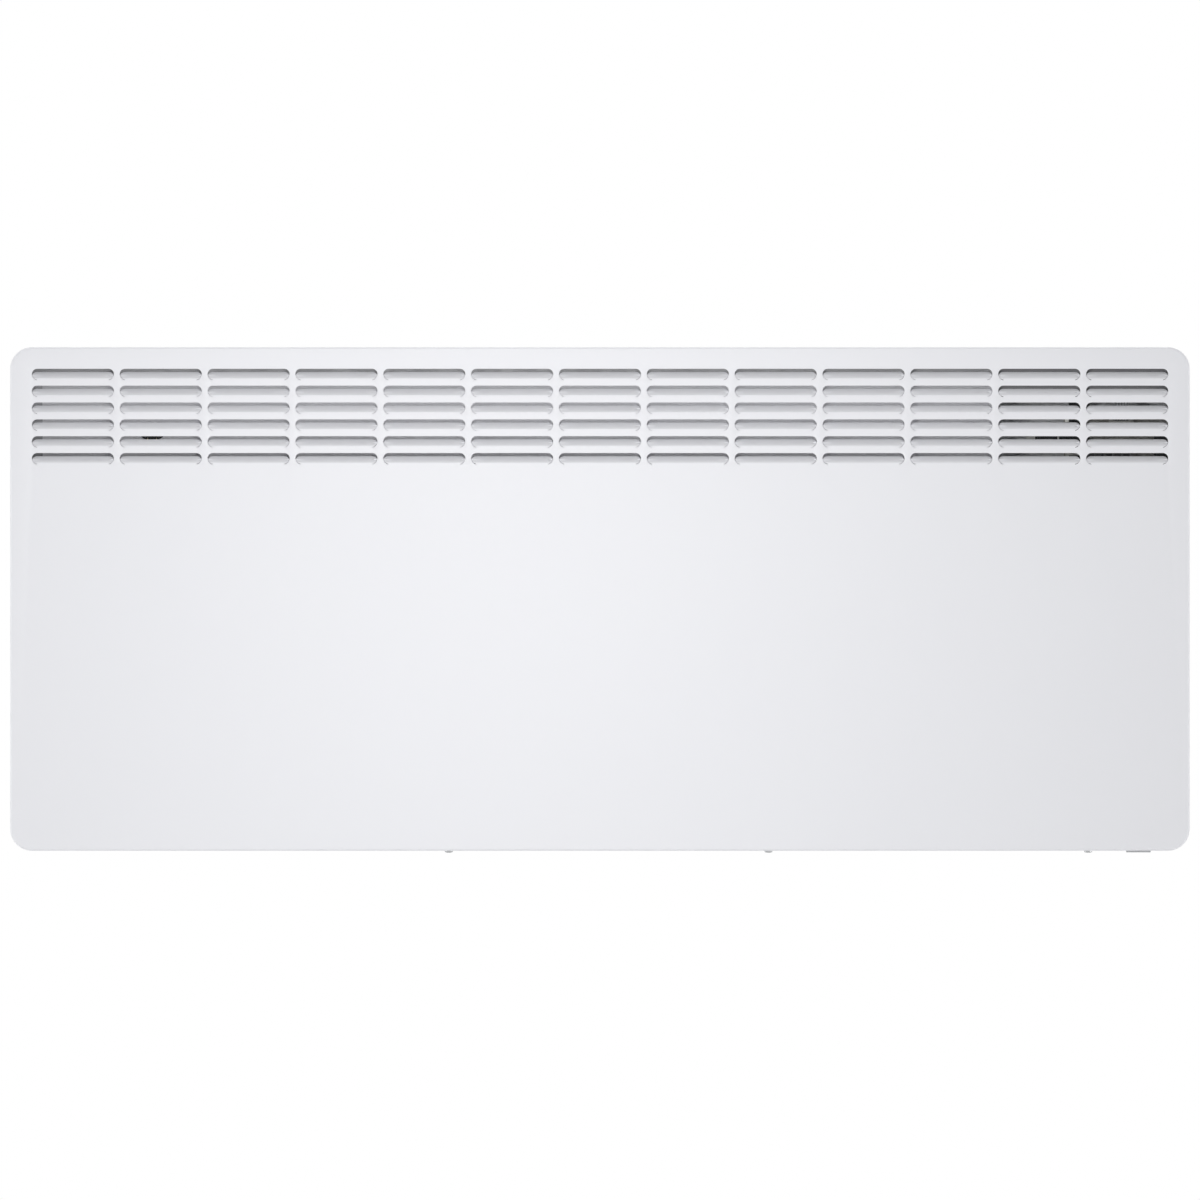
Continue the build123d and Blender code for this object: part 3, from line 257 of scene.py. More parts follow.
def zinc_plate(name, tone, roughness):
    """Bright zinc plate over drawn steel, with streaks along the part and small smudges."""
    m = Material(name, tone, roughness, metallic=0.92)
    smudges = m.noise(18, detail=4, rough=0.6)
    streaks = m.noise(60, detail=4, vector=m.stretched((1, 4, 0.4)))
    drawn = m.noise(700, vector=m.stretched((1, 1, 0.08)))
    m.blend(smudges, shade(tone, 0.9), shade(tone, 1.06))
    m.rough(streaks, roughness - 0.06, roughness + 0.1)
    m.bump(drawn, 0.03 * MM, 0.4)
    return m.material


def extruded(name, tone, metallic=0.95):
    """Aluminium extrusion, with die lines along X."""
    m = Material(name, tone, roughness=0.38, metallic=metallic)
    lines = m.noise(900, vector=m.stretched((0.01, 1, 1)))
    m.rough(lines, 0.3, 0.46)
    m.blend(m.noise(30, detail=3), shade(tone, 0.93), tone)
    m.bump(lines, 0.05 * MM, 0.5)
    return m.material


def plastic(name, tone, roughness, relief=0.04 * MM):
    """Moulded plastic with an eroded texture."""
    grain = 1400
    m = Material(name, tone, roughness)
    m.set("Specular IOR Level", 0.4)
    m.blend(m.noise(25, detail=3), tone, shade(tone, 1.08, 0.002))
    m.rough(m.noise(grain / 3), roughness - 0.05, roughness + 0.06)
    m.bump(m.noise(grain, detail=3, rough=0.6), relief, 0.6)
    return m.material


def ceramic():
    """Unglazed ceramic, faintly speckled."""
    m = Material("ceramic", (0.82, 0.79, 0.72), roughness=0.62)
    m.blend(m.cells(700).outputs["Distance"], (0.74, 0.70, 0.62), (0.84, 0.81, 0.75))
    m.bump(m.noise(1200, detail=3), 0.06 * MM, 0.5)
    return m.material


def window():
    """Smoked clear plastic over the display."""
    m = Material("smoked_window", (0.05, 0.055, 0.06), roughness=0.06)
    m.set("Transmission Weight", 0.7)
    m.set("IOR", 1.49)
    m.bump(m.noise(40), 0.02 * MM, 0.2)
    return m.material


def display():
    """Liquid crystal cell, switched off, with the faint grid of its segments."""
    m = Material("display_cell", (0.30, 0.34, 0.30), roughness=0.2)
    grid = m.texture("ShaderNodeTexBrick", Scale=110)
    m.blend(grid.outputs["Fac"], (0.27, 0.31, 0.27), (0.33, 0.37, 0.33))
    return m.material


def circuit_board():
    """Green solder mask over copper tracks."""
    m = Material("circuit_board", (0.015, 0.12, 0.05), roughness=0.3)
    tracks = m.tracks(160, (0.04, 0.07))
    m.blend(tracks, (0.012, 0.10, 0.04), (0.04, 0.22, 0.09))
    m.bump(tracks, 0.04 * MM, 0.6)
    return m.material


def paper_laminate():
    """Natural paper laminate under clear lacquer, with the shadow of the copper tracks behind it."""
    bare, shadow = (0.66, 0.645, 0.615), (0.58, 0.565, 0.53)
    m = Material("paper_laminate", bare, roughness=0.35)
    m.blend(m.tracks(120, (0.05, 0.09)), bare, shadow)
    m.bump(m.noise(1200, detail=3), 0.03 * MM, 0.3)
    return m.material


def woven_sleeve():
    """Woven glass-fibre sleeve."""
    m = Material("woven_sleeve", (0.78, 0.75, 0.66), roughness=0.8)
    weave = m.add("ShaderNodeMath", operation="MULTIPLY")
    for into, direction in zip(weave.inputs, ("X", "Z")):
        threads = m.texture("ShaderNodeTexWave", Scale=260, Distortion=0.5, bands_direction=direction)
        m.link(threads.outputs["Fac"], into)
    m.blend(weave.outputs["Value"], (0.60, 0.57, 0.48), (0.85, 0.82, 0.74))
    m.bump(weave.outputs["Value"], 0.3 * MM, 0.7)
    return m.material


def ribbon():
    """Flat cable, one line for each of its wires."""
    m = Material("ribbon_cable", (0.4, 0.41, 0.43), roughness=0.5)
    wires = m.texture("ShaderNodeTexWave", Scale=125).outputs["Fac"]
    m.blend(wires, (0.28, 0.29, 0.31), (0.55, 0.56, 0.58))
    m.bump(wires, 0.3 * MM, 0.8)
    return m.material


def black_sleeve():
    """Braided polyester sleeve."""
    m = Material("black_sleeve", (0.04, 0.04, 0.044), roughness=0.6)
    braid = m.cells(1100, m.stretched((1, 1, 0.6))).outputs["Distance"]
    m.blend(braid, (0.07, 0.07, 0.076), (0.018, 0.018, 0.02))
    m.bump(braid, 0.3 * MM, 0.8)
    return m.material


# the finish of each of the record's material slots
MATERIALS = {
    "cover_paint": powder_coat(),
    "galvanised": galvanised("galvanised", (0.81, 0.82, 0.835), metallic=0.55, spangle=120).material,
    "frame_steel": zinc_plate("zinc_frame", (0.62, 0.64, 0.66), roughness=0.36),
    "screw_steel": zinc_plate("zinc_screw", (0.56, 0.57, 0.58), roughness=0.34),
    "fin_aluminium": extruded("bare_aluminium", (0.80, 0.81, 0.82)),
    "rod_steel": zinc_plate("drawn_tube", (0.44, 0.43, 0.41), roughness=0.3),
    "ceramic": ceramic(),
    "black_plastic": plastic("black_plastic", (0.022, 0.022, 0.024), roughness=0.5),
    "housing_plastic": plastic("housing_plastic", (0.16, 0.16, 0.168), roughness=0.5),
    "grey_plastic": plastic("grey_plastic", (0.28, 0.29, 0.30), roughness=0.5),
    "light_plastic": plastic("light_plastic", (0.60, 0.61, 0.63), roughness=0.4),
    "key_plastic": plastic("key_plastic", (0.74, 0.745, 0.76), roughness=0.4, relief=0.02 * MM),
    "window": window(),
    "display": display(),
    "circuit_board": circuit_board(),
    "power_laminate": paper_laminate(),
    "white_nylon": plastic("white_nylon", (0.78, 0.78, 0.74), roughness=0.42),
    "relay_case": plastic("relay_case", (0.02, 0.04, 0.12), roughness=0.28, relief=0.01 * MM),
    "capacitor_case": plastic("capacitor_case", (0.03, 0.03, 0.035), roughness=0.35, relief=0.02 * MM),
    "sink_aluminium": extruded("black_anodised", (0.27, 0.27, 0.28), metallic=0.2),
    "lead_sleeve": woven_sleeve(),
    "ribbon": ribbon(),
    "black_sleeve": black_sleeve(),
    "brass_tab": zinc_plate("tinned_brass", (0.70, 0.55, 0.28), roughness=0.28),
}
# finishes of single pieces, in place of their slot's
# deflector's sheet, with painted light at its foot and darker towards its top
PAINTED_LIGHT_SHEET = painted_light_sheet()
# darker sheet for the lap at the deflector's left end: painted shade near the duct's end plate
PAINTED_SHADE_LAP = galvanised("painted_shade_lap_sheet", (0.52, 0.52, 0.54), metallic=0.15, spangle=90).material
DARK_MARK = plastic("dark_mark", (0.06, 0.062, 0.066), roughness=0.45, relief=0.01 * MM)


# ---- mesh helpers --------------------------------------------------------------------------------
def in_mm(points):
    """Flat points or profile pairs that are written in millimetres."""
    return [(a * MM, b * MM) for a, b in points]


def new_object(bm, name):
    """Turns a bmesh into an object of the scene."""
    mesh = bpy.data.meshes.new(name)
    bm.to_mesh(mesh)
    bm.free()
    made = bpy.data.objects.new(name, mesh)
    bpy.context.scene.collection.objects.link(made)
    return made


def new_piece(bm, name, body, slot, replaced=(), finish=None):
    """Turns a bmesh into a piece that rides on a body and takes a slot's finish, or one of its own."""
    piece = new_object(bm, name)
    piece.data.materials.append(finish or MATERIALS[slot])
    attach(piece, body)
    if replaced:
        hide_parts(*replaced)
    return piece


def shade_by_angle(mesh):
    """Smooth shading, with the sharp edges marked."""
    mesh.shade_smooth()
    mesh.set_sharp_from_angle(angle=SHARP_TURN)


def apply_modifiers(piece):
    """Puts the modifiers' result into the mesh and marks its sharp edges."""
    graph = bpy.context.evaluated_depsgraph_get()
    result = bpy.data.meshes.new_from_object(piece.evaluated_get(graph))
    piece.modifiers.clear()
    piece.data = result
    shade_by_angle(result)


def break_edges(piece, width):
    """A modifier that cuts narrow slopes along the piece's sharper edges."""
    edge = piece.modifiers.new("edge", "BEVEL")
    edge.width = width
    edge.segments = BREAK_STEPS
    edge.limit_method = "ANGLE"
    edge.angle_limit = BREAK_TURN


def close_piece(bm, name, body, slot, replaced=(), finish=None, edge=None):
    """A piece of closed shapes: normals outwards, edges broken by a width, sharp edges marked."""
    bmesh.ops.recalc_face_normals(bm, faces=bm.faces)
    piece = new_piece(bm, name, body, slot, replaced, finish)
    if edge:
        break_edges(piece, edge)
        apply_modifiers(piece)
    else:
        shade_by_angle(piece.data)
    return piece


def bridge(bm, first, second, skip=()):
    """Quads between two loops with as many vertices; skip holds the numbers of those left out."""
    count = len(first)
    for i in range(count):
        if i not in skip:
            j = (i + 1) % count
            bm.faces.new((first[i], first[j], second[j], second[i]))


def bridge_all(bm, loops):
    """Quads between each loop and the next."""
    for first, second in zip(loops, loops[1:]):
        bridge(bm, first, second)


def close_stack(bm, loops):
    """A closed shape over a stack of loops, with a face at each end."""
    bridge_all(bm, loops)
    bm.faces.new(loops[0])
    bm.faces.new(loops[-1])


def close_edges(bm, loop):
    """The edges of a closed loop, made where they are missing."""
    edges = []
    for i, vert in enumerate(loop):
        other = loop[(i + 1) % len(loop)]
        edges.append(bm.edges.get((vert, other)) or bm.edges.new((vert, other)))
    return edges


def add_loop(bm, points, place):
    """Vertices for a loop of flat points; place turns a point into X, Y, Z."""
    return [bm.verts.new(place(a, b)) for a, b in points]


def rounded_loop(half_length, half_width, radius, steps):
    """Points of a rounded rectangle, anticlockwise from the right end of its lower straight."""
    points = []
    for turn, (side, end) in enumerate(((1, -1), (1, 1), (-1, 1), (-1, -1))):
        for i in range(steps + 1):
            angle = math.radians(-90 + 90 * turn + 90 * i / steps)
            points.append((side * (half_length - radius) + radius * math.cos(angle),
                           end * (half_width - radius) + radius * math.sin(angle)))
    return points


def oblong(length, width, x=0.0, y=0.0):
    """Four corners of a rectangle around a centre."""
    return [(x + i * length / 2, y + j * width / 2) for i, j in ((-1, -1), (1, -1), (1, 1), (-1, 1))]


def ring_outlines(radius, width, steps):
    """Short quads that make up a ring."""
    corners = []
    for i in range(steps + 1):
        angle = 2 * math.pi * i / steps
        corners.append([(r * math.cos(angle), r * math.sin(angle)) for r in (radius - width, radius)])
    return [[a[0], a[1], b[1], b[0]] for a, b in zip(corners, corners[1:])]


def turned(bm, profile, place, steps):
    """Turned shape from (radius, height) pairs; place turns a, b, height into a point."""
    angles = [2 * math.pi * i / steps for i in range(steps)]
    loops = [[bm.verts.new(place(radius * math.cos(angle), radius * math.sin(angle), height))
              for angle in angles] for radius, height in profile]
    close_stack(bm, loops)


def prism(bm, outline, low, high, place):
    """Straight shape over a flat outline; place turns a, b, height into a point."""
    loops = [[bm.verts.new(place(a, b, height)) for a, b in outline] for height in (low, high)]
    close_stack(bm, loops)


# ---- front cover ---------------------------------------------------------------------------------
def flap_dent(v):
    """How far the flap lies behind the face, v below the opening's top."""
    up = max(0.0, LOUVRE_FOLD - v)
    run = LOUVRE_FOLD - LOUVRE_SLIT - LOUVRE_BEND / 2
    share = (up ** 2 / (2 * LOUVRE_BEND) if up < LOUVRE_BEND else up - LOUVRE_BEND / 2) / run
    return LOUVRE_DEPTH * share * (1 - LOUVRE_CURL + LOUVRE_CURL * share)


def arc(centre_x, centre_v, radii, start, end, steps):
    """Points of an arc whose radius may change on the way; angles in degrees, from the right and up."""
    points = []
    for i in range(steps + 1):
        share = i / steps
        angle = math.radians(start + (end - start) * share)
        radius = radii[0] + (radii[1] - radii[0]) * share
        points.append((centre_x + radius * math.cos(angle), centre_v - radius * math.sin(angle)))
    return points


def hole_path():
    """The opening's cut edge, from the right end of the flap's root over the top to its left end."""
    half = LOUVRE_WIDTH / 2
    right = arc(half - LOUVRE_HOOK, LOUVRE_CORNER, (LOUVRE_HOOK, LOUVRE_HOOK),
                -LOUVRE_TURN, 0, HOOK_STEPS)
    right += arc(half - LOUVRE_CORNER, LOUVRE_CORNER, (LOUVRE_CORNER, LOUVRE_CORNER),
                 0, 90, OPENING_CORNER_STEPS)[1:]
    return right + [(-x, v) for x, v in reversed(right)]


def flap_rows():
    """Half width of the flap at heights from its root up to its free edge, its corners rounded."""
    half = LOUVRE_WIDTH / 2
    radius = LOUVRE_CORNER - LOUVRE_SIDE_GAP
    run = LOUVRE_FOLD - LOUVRE_SLIT
    tilt = run / math.hypot(run, LOUVRE_DEPTH)
    rows = [hole_path()[0]]
    side_radii = (LOUVRE_HOOK - LOUVRE_END_GAP, LOUVRE_HOOK - LOUVRE_SIDE_GAP)
    rows += arc(half - LOUVRE_HOOK, LOUVRE_CORNER, side_radii,
                -LOUVRE_TURN, -FLAP_SIDE_END, FLAP_SIDE_STEPS)
    corner = arc(half - LOUVRE_CORNER, 0, (radius, radius), 0, 90, FLAP_CORNER_STEPS)
    rows += [(x, LOUVRE_SLIT + (v + radius) * tilt) for x, v in corner]
    return rows


def add_louvre(bm, centre_x, top_z, hole, rows):
    """One louvre: the opening's cut edge, the flap and a calm ring. Returns the ring's outer loop."""

    def place(x, v, dent):
        return (centre_x + x, FRONT_Y + dent, top_z - v)

    shares = [2 * i / FLAP_COLUMNS - 1 for i in range(FLAP_COLUMNS + 1)]
    flap = [[bm.verts.new(place(half * share, v, flap_dent(v))) for share in shares]
            for half, v in rows]
    for low_row, high_row in zip(flap, flap[1:]):
        for i in range(FLAP_COLUMNS):
            bm.faces.new((low_row[i], low_row[i + 1], high_row[i + 1], high_row[i]))
    root = flap[0]
    root_v = hole[0][1]
    cut = hole[1:-1]
    loop = root + [bm.verts.new(place(x, v, LOUVRE_ROLL)) for x, v in cut]
    outline = [(vert.co.x - centre_x, root_v) for vert in root] + cut
    # the calm ring lies outside the outline, pushed along its outward direction
    outer = []
    for i, (x, v) in enumerate(outline):
        before, after = outline[i - 1], outline[(i + 1) % len(outline)]
        along = Vector((after[0] - before[0], after[1] - before[1])).normalized()
        outer.append(bm.verts.new(place(x - along.y * CALM, v + along.x * CALM, 0)))
    bridge(bm, loop, outer)
    return outer


def front_cover():
    """Pressed hood: louvred front, soft edge bend, sides, cut-out in the top and flange below."""
    bm = bmesh.new()

    def ring(inset, y):
        loop = rounded_loop(HALF_WIDTH - inset, HALF_HEIGHT - inset, CORNER - inset, COVER_CORNER_STEPS)
        return add_loop(bm, loop, lambda x, z: (x, y, z))

    # the bend round the front, and the sides
    face = ring(BEND + CALM, FRONT_Y)
    rings = [face]
    for i in range(COVER_BEND_STEPS + 1):
        angle = math.pi / 2 * i / COVER_BEND_STEPS
        rings.append(ring(BEND * (1 - math.sin(angle)), FRONT_Y + BEND * (1 - math.cos(angle))))
    calm = ring(0, FRONT_Y + BEND + CALM)
    bridge_all(bm, [*rings, calm])
    flange = ring(0, FRONT_Y + FLANGE)
    back = ring(0, COVER_BACK_Y)
    # the top is filled below, round its cut-out, and the underside is open behind the flange
    corner = COVER_CORNER_STEPS + 1
    top_straight = 2 * corner - 1
    low_straight = 4 * corner - 1
    bridge(bm, calm, flange, skip=(top_straight,))
    bridge(bm, flange, back, skip=(top_straight, low_straight))

    # the face, with its louvres
    hole = hole_path()
    rows = flap_rows()
    edges = close_edges(bm, face)
    for row in range(ROWS):
        for column in range(COLUMNS):
            x = (column - (COLUMNS - 1) / 2) * PITCH_X
            z = TOP_Z - TOP_MARGIN - row * PITCH_Z
            edges += close_edges(bm, add_louvre(bm, x, z, hole, rows))
    bmesh.ops.triangle_fill(bm, edges=edges, use_beauty=True, normal=(0, -1, 0))

    # the top, with the control panel's cut-out
    a, b = top_straight, top_straight + 1
    border = [calm[a], calm[b], flange[b], back[b], back[a], flange[a]]
    cut = rounded_loop(CUT_LENGTH / 2, CUT_WIDTH / 2, CUT_CORNER, CUT_CORNER_STEPS)
    rim = add_loop(bm, cut, lambda x, y: (CUT_CENTRE.x + x, CUT_CENTRE.y + y, TOP_Z))
    bmesh.ops.triangle_fill(bm, edges=close_edges(bm, border) + close_edges(bm, rim),
                            use_beauty=True, normal=(0, 0, 1))
    bmesh.ops.recalc_face_normals(bm, faces=bm.faces)
    piece = new_piece(bm, "cover_shell", "heater", "cover_paint", ["front_cover"])
    sheet = piece.modifiers.new("sheet", "SOLIDIFY")
    sheet.thickness = SHEET
    sheet.offset = -1
    apply_modifiers(piece)


# ---- cover screws --------------------------------------------------------------------------------
HEAD_RADIUS = 3.6 * MM
HEAD_HEIGHT = 2.0 * MM
HEAD_RIM = 0.45                # share of the head's height that is its straight rim
HEAD_FLAT = 0.1                # share of the head's radius that is flat in the middle of its crown
DOME_TURN = 12                 # degrees between the dome's rows
THREAD_RADIUS = 1.95 * MM
CORE_SHARE = 0.76              # radius between the threads, as a share of the radius over them
THREAD_PITCH = 1.4 * MM
THREAD_START = 0.9 * MM        # above the flange
THREAD_REST = 1.2 * MM         # length that carries no thread
TIP_RADIUS = 0.3 * MM
RECESS_ARM = 1.9 * MM
RECESS_SLOT = 0.75 * MM
RECESS_FLOOR = 0.7 * MM        # from the flange down to the recess
RECESS_SPARE = 0.2 * MM        # how far the cutter stands out of the crown


def screw_profile(length):
    """Radius and height of a pan-head tapping screw from its crown to its tip, with the flange at 0."""
    crown = []
    for degrees in range(0, 90, DOME_TURN):
        angle = math.radians(degrees)
        crown.append((HEAD_RADIUS * math.cos(angle),
                      -HEAD_RIM * HEAD_HEIGHT - (1 - HEAD_RIM) * HEAD_HEIGHT * math.sin(angle)))
    crown.append((HEAD_FLAT * HEAD_RADIUS, -HEAD_HEIGHT))
    half_turns = int((length - THREAD_REST) / THREAD_PITCH * 2)
    thread = [(THREAD_RADIUS * (CORE_SHARE if i % 2 else 1.0), THREAD_START + i * THREAD_PITCH / 2)
              for i in range(half_turns + 1)]
    seat = [(HEAD_RADIUS, 0), (CORE_SHARE * THREAD_RADIUS, 0)]
    return crown[::-1] + seat + thread + [(TIP_RADIUS, length)]


def cover_screws():
    """Three screws up through the cover's bottom flange, with cross recesses."""
    profile = screw_profile(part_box("cover_screws")[1].z - BOTTOM_Z)
    bm, cutter = bmesh.new(), bmesh.new()
    for x in SCREW_X:

        def place(a, b, height):
            return (x + a, SCREW_Y + b, BOTTOM_Z + height)

        turned(bm, profile, place, steps=40)
        for outline in (oblong(2 * RECESS_ARM, RECESS_SLOT), oblong(RECESS_SLOT, 2 * RECESS_ARM)):
            prism(cutter, outline, -HEAD_HEIGHT - RECESS_SPARE, -RECESS_FLOOR, place)
    bmesh.ops.recalc_face_normals(cutter, faces=cutter.faces)
    recess = new_object(cutter, "recess")
    piece = close_piece(bm, "cover_screw_set", "heater", "screw_steel", ["cover_screws"])
    cut = piece.modifiers.new("recess", "BOOLEAN")
    cut.operation = "DIFFERENCE"
    cut.solver = "EXACT"
    cut.use_self = True
    cut.object = recess
    apply_modifiers(piece)
    bpy.data.objects.remove(recess)


# ---- pieces on the air deflector -----------------------------------------------------------------
SLOPE = (DEFLECTOR_HEAD - DEFLECTOR_FOOT).normalized()
SLOPE_OUT = Vector((0, -SLOPE.z, SLOPE.y))

CUTOUT_Z = 143.5 * MM
CUTOUT_FLANGE_HALF = (10 * MM, 9 * MM)
CUTOUT_FLANGE_CORNER = 3 * MM
CUTOUT_FLANGE_TOP = 0.8 * MM   # off the deflector, as are the heights that follow
CUTOUT_BODY = in_mm([(9.9, 0.8), (9.9, 5.6), (9.4, 6.6), (8.2, 7.4), (7.6, 8.0), (2, 8.0)])
CUTOUT_BODY_RISE = 3.6 * MM    # up the slope from the flange's middle
CUTOUT_BODY_SQUASH = 0.46      # width of the oval body as a share of its length
CUTOUT_EYELET = in_mm([(1.6, 0.8), (1.4, 1.3), (0.9, 1.3)])
CUTOUT_EYELET_RISE = 6.6 * MM  # flange's middle to an eyelet, up or down the slope
TAB_OFFSET = 4 * MM
TAB_THICKNESS = 0.8 * MM
TAB_WIDTH = 4 * MM
TAB_FOOT = 7.9 * MM
TAB_TIP = 15.5 * MM
TAB_EDGE = 0.15 * MM

LAP_Z = 161 * MM
LAP_LENGTH = 74 * MM
LAP_WIDTH = 11 * MM
LAP_INSET = 5.6 * MM           # deflector's left end to the lap's middle
LAP_LOW = 0.05 * MM            # the lap's two faces, off the deflector
LAP_HIGH = 0.8 * MM
RIVET_PITCH = 28 * MM
RIVET = in_mm([(2, 0.7), (2, 1.1), (1.4, 1.6), (0.5, 1.8)])


def on_deflector(centre_z, centre_x):
    """Place on the deflector's slope: a to the right, b up the slope, height off the sheet."""
    share = (centre_z - DEFLECTOR_FOOT.z) / (DEFLECTOR_HEAD.z - DEFLECTOR_FOOT.z)
    seat = DEFLECTOR_FOOT.lerp(DEFLECTOR_HEAD, share) + SLOPE_OUT * DEFLECTOR_SHEET / 2

    def place(a, b, height):
        return seat + Vector((centre_x + a, 0, 0)) + SLOPE * b + SLOPE_OUT * height

    return place


def thermal_cutout():
    """Cut-out on the deflector: sheet flange with eyelets, oval moulded body and two tabs."""
    low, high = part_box("thermal_cutout")
    seat = on_deflector(CUTOUT_Z, (low.x + high.x) / 2)

    bm = bmesh.new()
    flange = rounded_loop(*CUTOUT_FLANGE_HALF, CUTOUT_FLANGE_CORNER, steps=6)
    prism(bm, flange, 0, CUTOUT_FLANGE_TOP, seat)
    close_piece(bm, "cutout_flange", "heater", "galvanised")

    bm = bmesh.new()
    turned(bm, CUTOUT_BODY,
           lambda a, b, height: seat(a, CUTOUT_BODY_RISE + CUTOUT_BODY_SQUASH * b, height), steps=48)
    close_piece(bm, "cutout_body", "heater", "black_plastic", ["thermal_cutout"])

    bm = bmesh.new()
    for side in (-1, 1):
        prism(bm, oblong(TAB_THICKNESS, TAB_WIDTH, TAB_OFFSET * side), TAB_FOOT, TAB_TIP, seat)
        turned(bm, CUTOUT_EYELET,
               lambda a, b, height: seat(a, b - CUTOUT_EYELET_RISE * side, height), steps=24)
    close_piece(bm, "cutout_tabs", "heater", "brass_tab", edge=TAB_EDGE)


def deflector_shade_lap():
    """Lap of the duct's end plate that the deflector's left end is riveted to, in a darker sheet that is painted
    shade near the end plate.
    """
    seat = on_deflector(LAP_Z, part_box("air_deflector")[0].x + LAP_INSET)
    bm = bmesh.new()
    prism(bm, oblong(LAP_WIDTH, LAP_LENGTH), LAP_LOW, LAP_HIGH, seat)
    for rise in (-RIVET_PITCH, 0, RIVET_PITCH):
        turned(bm, RIVET, lambda a, b, height: seat(a, rise + b, height), steps=20)
    # the lap's darker finish is painted shade
    close_piece(bm, "deflector_shade_lap", "heater", "galvanised", finish=PAINTED_SHADE_LAP)


# ---- harness ties and housing ear ----------------------------------------------------------------
HARNESS_X = 424 * MM
TIE_HEIGHTS = (129.0 * MM, 165.6 * MM, 186.0 * MM)
TIE_SPARE = 1.6 * MM           # how much deeper a tie is than the harness
TIE_WIDTH = 2.2 * MM
TIE_LENGTH = 13.2 * MM
TIE_HEAD_X = 416.4 * MM
TIE_HEAD = (3.2 * MM, 4.2 * MM, 3.8 * MM)
TAIL_X = 415.7 * MM
TAIL_HEIGHT = TIE_HEIGHTS[1]
TAIL_WIDTH = 3.6 * MM
TAIL_THICKNESS = 1.1 * MM
TAIL_REACH = 23 * MM           # from the harness towards the grille
TAIL_DROP = 8.6 * MM           # length of its hanging end
TAIL_DROP_MIDDLE = 161.9 * MM  # height of that end's middle
BRANCH_TIE_X = 408.5 * MM
BRANCH_TIE_HEIGHT = 143.7 * MM
BRANCH_TIE_WIDTH = 1.6 * MM
BRANCH_TIE_LENGTH = 10.6 * MM
TIE_EDGE = 0.25 * MM

EAR_HALF = (12.2 * MM, 17 * MM)
EAR_CORNER = 3 * MM
EAR_THICKNESS = 2.2 * MM
EAR_OFFSET = 12 * MM           # housing's right-hand end to the ear's middle
EAR_DROP = 22 * MM             # housing's top down to the ear's middle
EAR_SETBACK = 1 * MM           # housing's front back to the ear's
EAR_EYE = in_mm([(4, 0.1), (4, -1.0), (2.2, -1.0), (2.2, -0.2)])
EAR_EYE_CENTRE = (4 * MM, 3 * MM)
EAR_EDGE = 0.3 * MM


def harness_ties():
    """Nylon ties around the harness and its branch, with their heads and one tail left long."""
    low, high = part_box("control_harness")
    middle = (low.y + high.y) / 2
    depth = high.y - low.y + TIE_SPARE
    bm = bmesh.new()

    def block(x, z, size, y=middle):
        prism(bm, oblong(size[0], size[1]), -size[2] / 2, size[2] / 2,
              lambda a, b, height: (x + a, y + b, z + height))

    for z in TIE_HEIGHTS:
        block(HARNESS_X, z, (TIE_LENGTH, depth, TIE_WIDTH))
        block(TIE_HEAD_X, z, TIE_HEAD)
    # the long tail springs forward and hangs down behind the grille
    tail_y = low.y - TAIL_REACH
    block(TAIL_X, TAIL_HEIGHT, (TAIL_WIDTH, middle - tail_y, TAIL_THICKNESS), (middle + tail_y) / 2)
    block(TAIL_X, TAIL_DROP_MIDDLE, (TAIL_WIDTH, TAIL_THICKNESS, TAIL_DROP), tail_y)
    block(BRANCH_TIE_X, BRANCH_TIE_HEIGHT, (BRANCH_TIE_WIDTH, depth, BRANCH_TIE_LENGTH))
    close_piece(bm, "harness_ties", "heater", "white_nylon", edge=TIE_EDGE)


def housing_ear():
    """Fixing ear on the control housing's right-hand end, with its screw eye."""
    centre_x = housing_high.x + EAR_OFFSET
    centre_z = housing_high.z - EAR_DROP

    def place(a, b, height):
        return (centre_x + a, housing_low.y + EAR_SETBACK + height, centre_z + b)

    bm = bmesh.new()
    outline = rounded_loop(*EAR_HALF, EAR_CORNER, steps=5)
    prism(bm, outline, 0, EAR_THICKNESS, place)
    eye_a, eye_b = EAR_EYE_CENTRE
    turned(bm, EAR_EYE, lambda a, b, height: place(a + eye_a, b + eye_b, height), steps=28)
    close_piece(bm, "housing_ear", "heater", "housing_plastic", edge=EAR_EDGE)


# ---- marks on the keys and the rocker ------------------------------------------------------------
MARK_THICKNESS = 0.08 * MM
KEY_MARK_SINK = 0.02 * MM      # how far a mark starts below the surface
ROCKER_MARK_SINK = 0.1 * MM
STROKE = 0.9 * MM
SIGN_LENGTH = 5 * MM
BAR_LENGTH = 5.4 * MM
BAR_PITCH = 1.9 * MM
TICK = in_mm([(-2.7, 0.1), (-2.1, 0.7), (-0.8, -0.6), (2.1, 2.3), (2.7, 1.7), (-0.8, -1.8)])
KEY_MARKS = {
    "plus": [oblong(SIGN_LENGTH, STROKE), oblong(STROKE, SIGN_LENGTH)],
    "minus": [oblong(SIGN_LENGTH, STROKE)],
    "menu": [oblong(BAR_LENGTH, STROKE, y=y) for y in (-BAR_PITCH, 0, BAR_PITCH)],
    "ok": [TICK],
}
ROCKER_STROKE = [oblong(length=0.8 * MM, width=4 * MM)]
ROCKER_RING = ring_outlines(radius=2 * MM, width=0.7 * MM, steps=28)
ROCKER_JOINT = next(joint for joint in frame["joints"] if joint["name"] == "switch_rock")
ROCKER_REST = math.radians(ROCKER_JOINT["range_deg"][1] / 2)      # tilt at rest
ROCKER_FALL = 0.1              # slope of each half of its face towards the middle
ROCKER_MARK_REACH = 4.4 * MM   # pivot to a mark's middle, along the face
ROCKER_FACE_DROP = 2.64 * MM   # pivot down to the face there


def key_mark(key, outlines):
    """Printed mark on a key's top."""
    low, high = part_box(f"key_{key}")
    middle = (low + high) / 2
    bm = bmesh.new()
    for outline in outlines:
        prism(bm, outline, -KEY_MARK_SINK, MARK_THICKNESS,
              lambda a, b, height: (middle.x + a, middle.y + b, high.z + height))
    close_piece(bm, f"{key}_mark", f"key_{key}_cap", "key_plastic", finish=DARK_MARK)


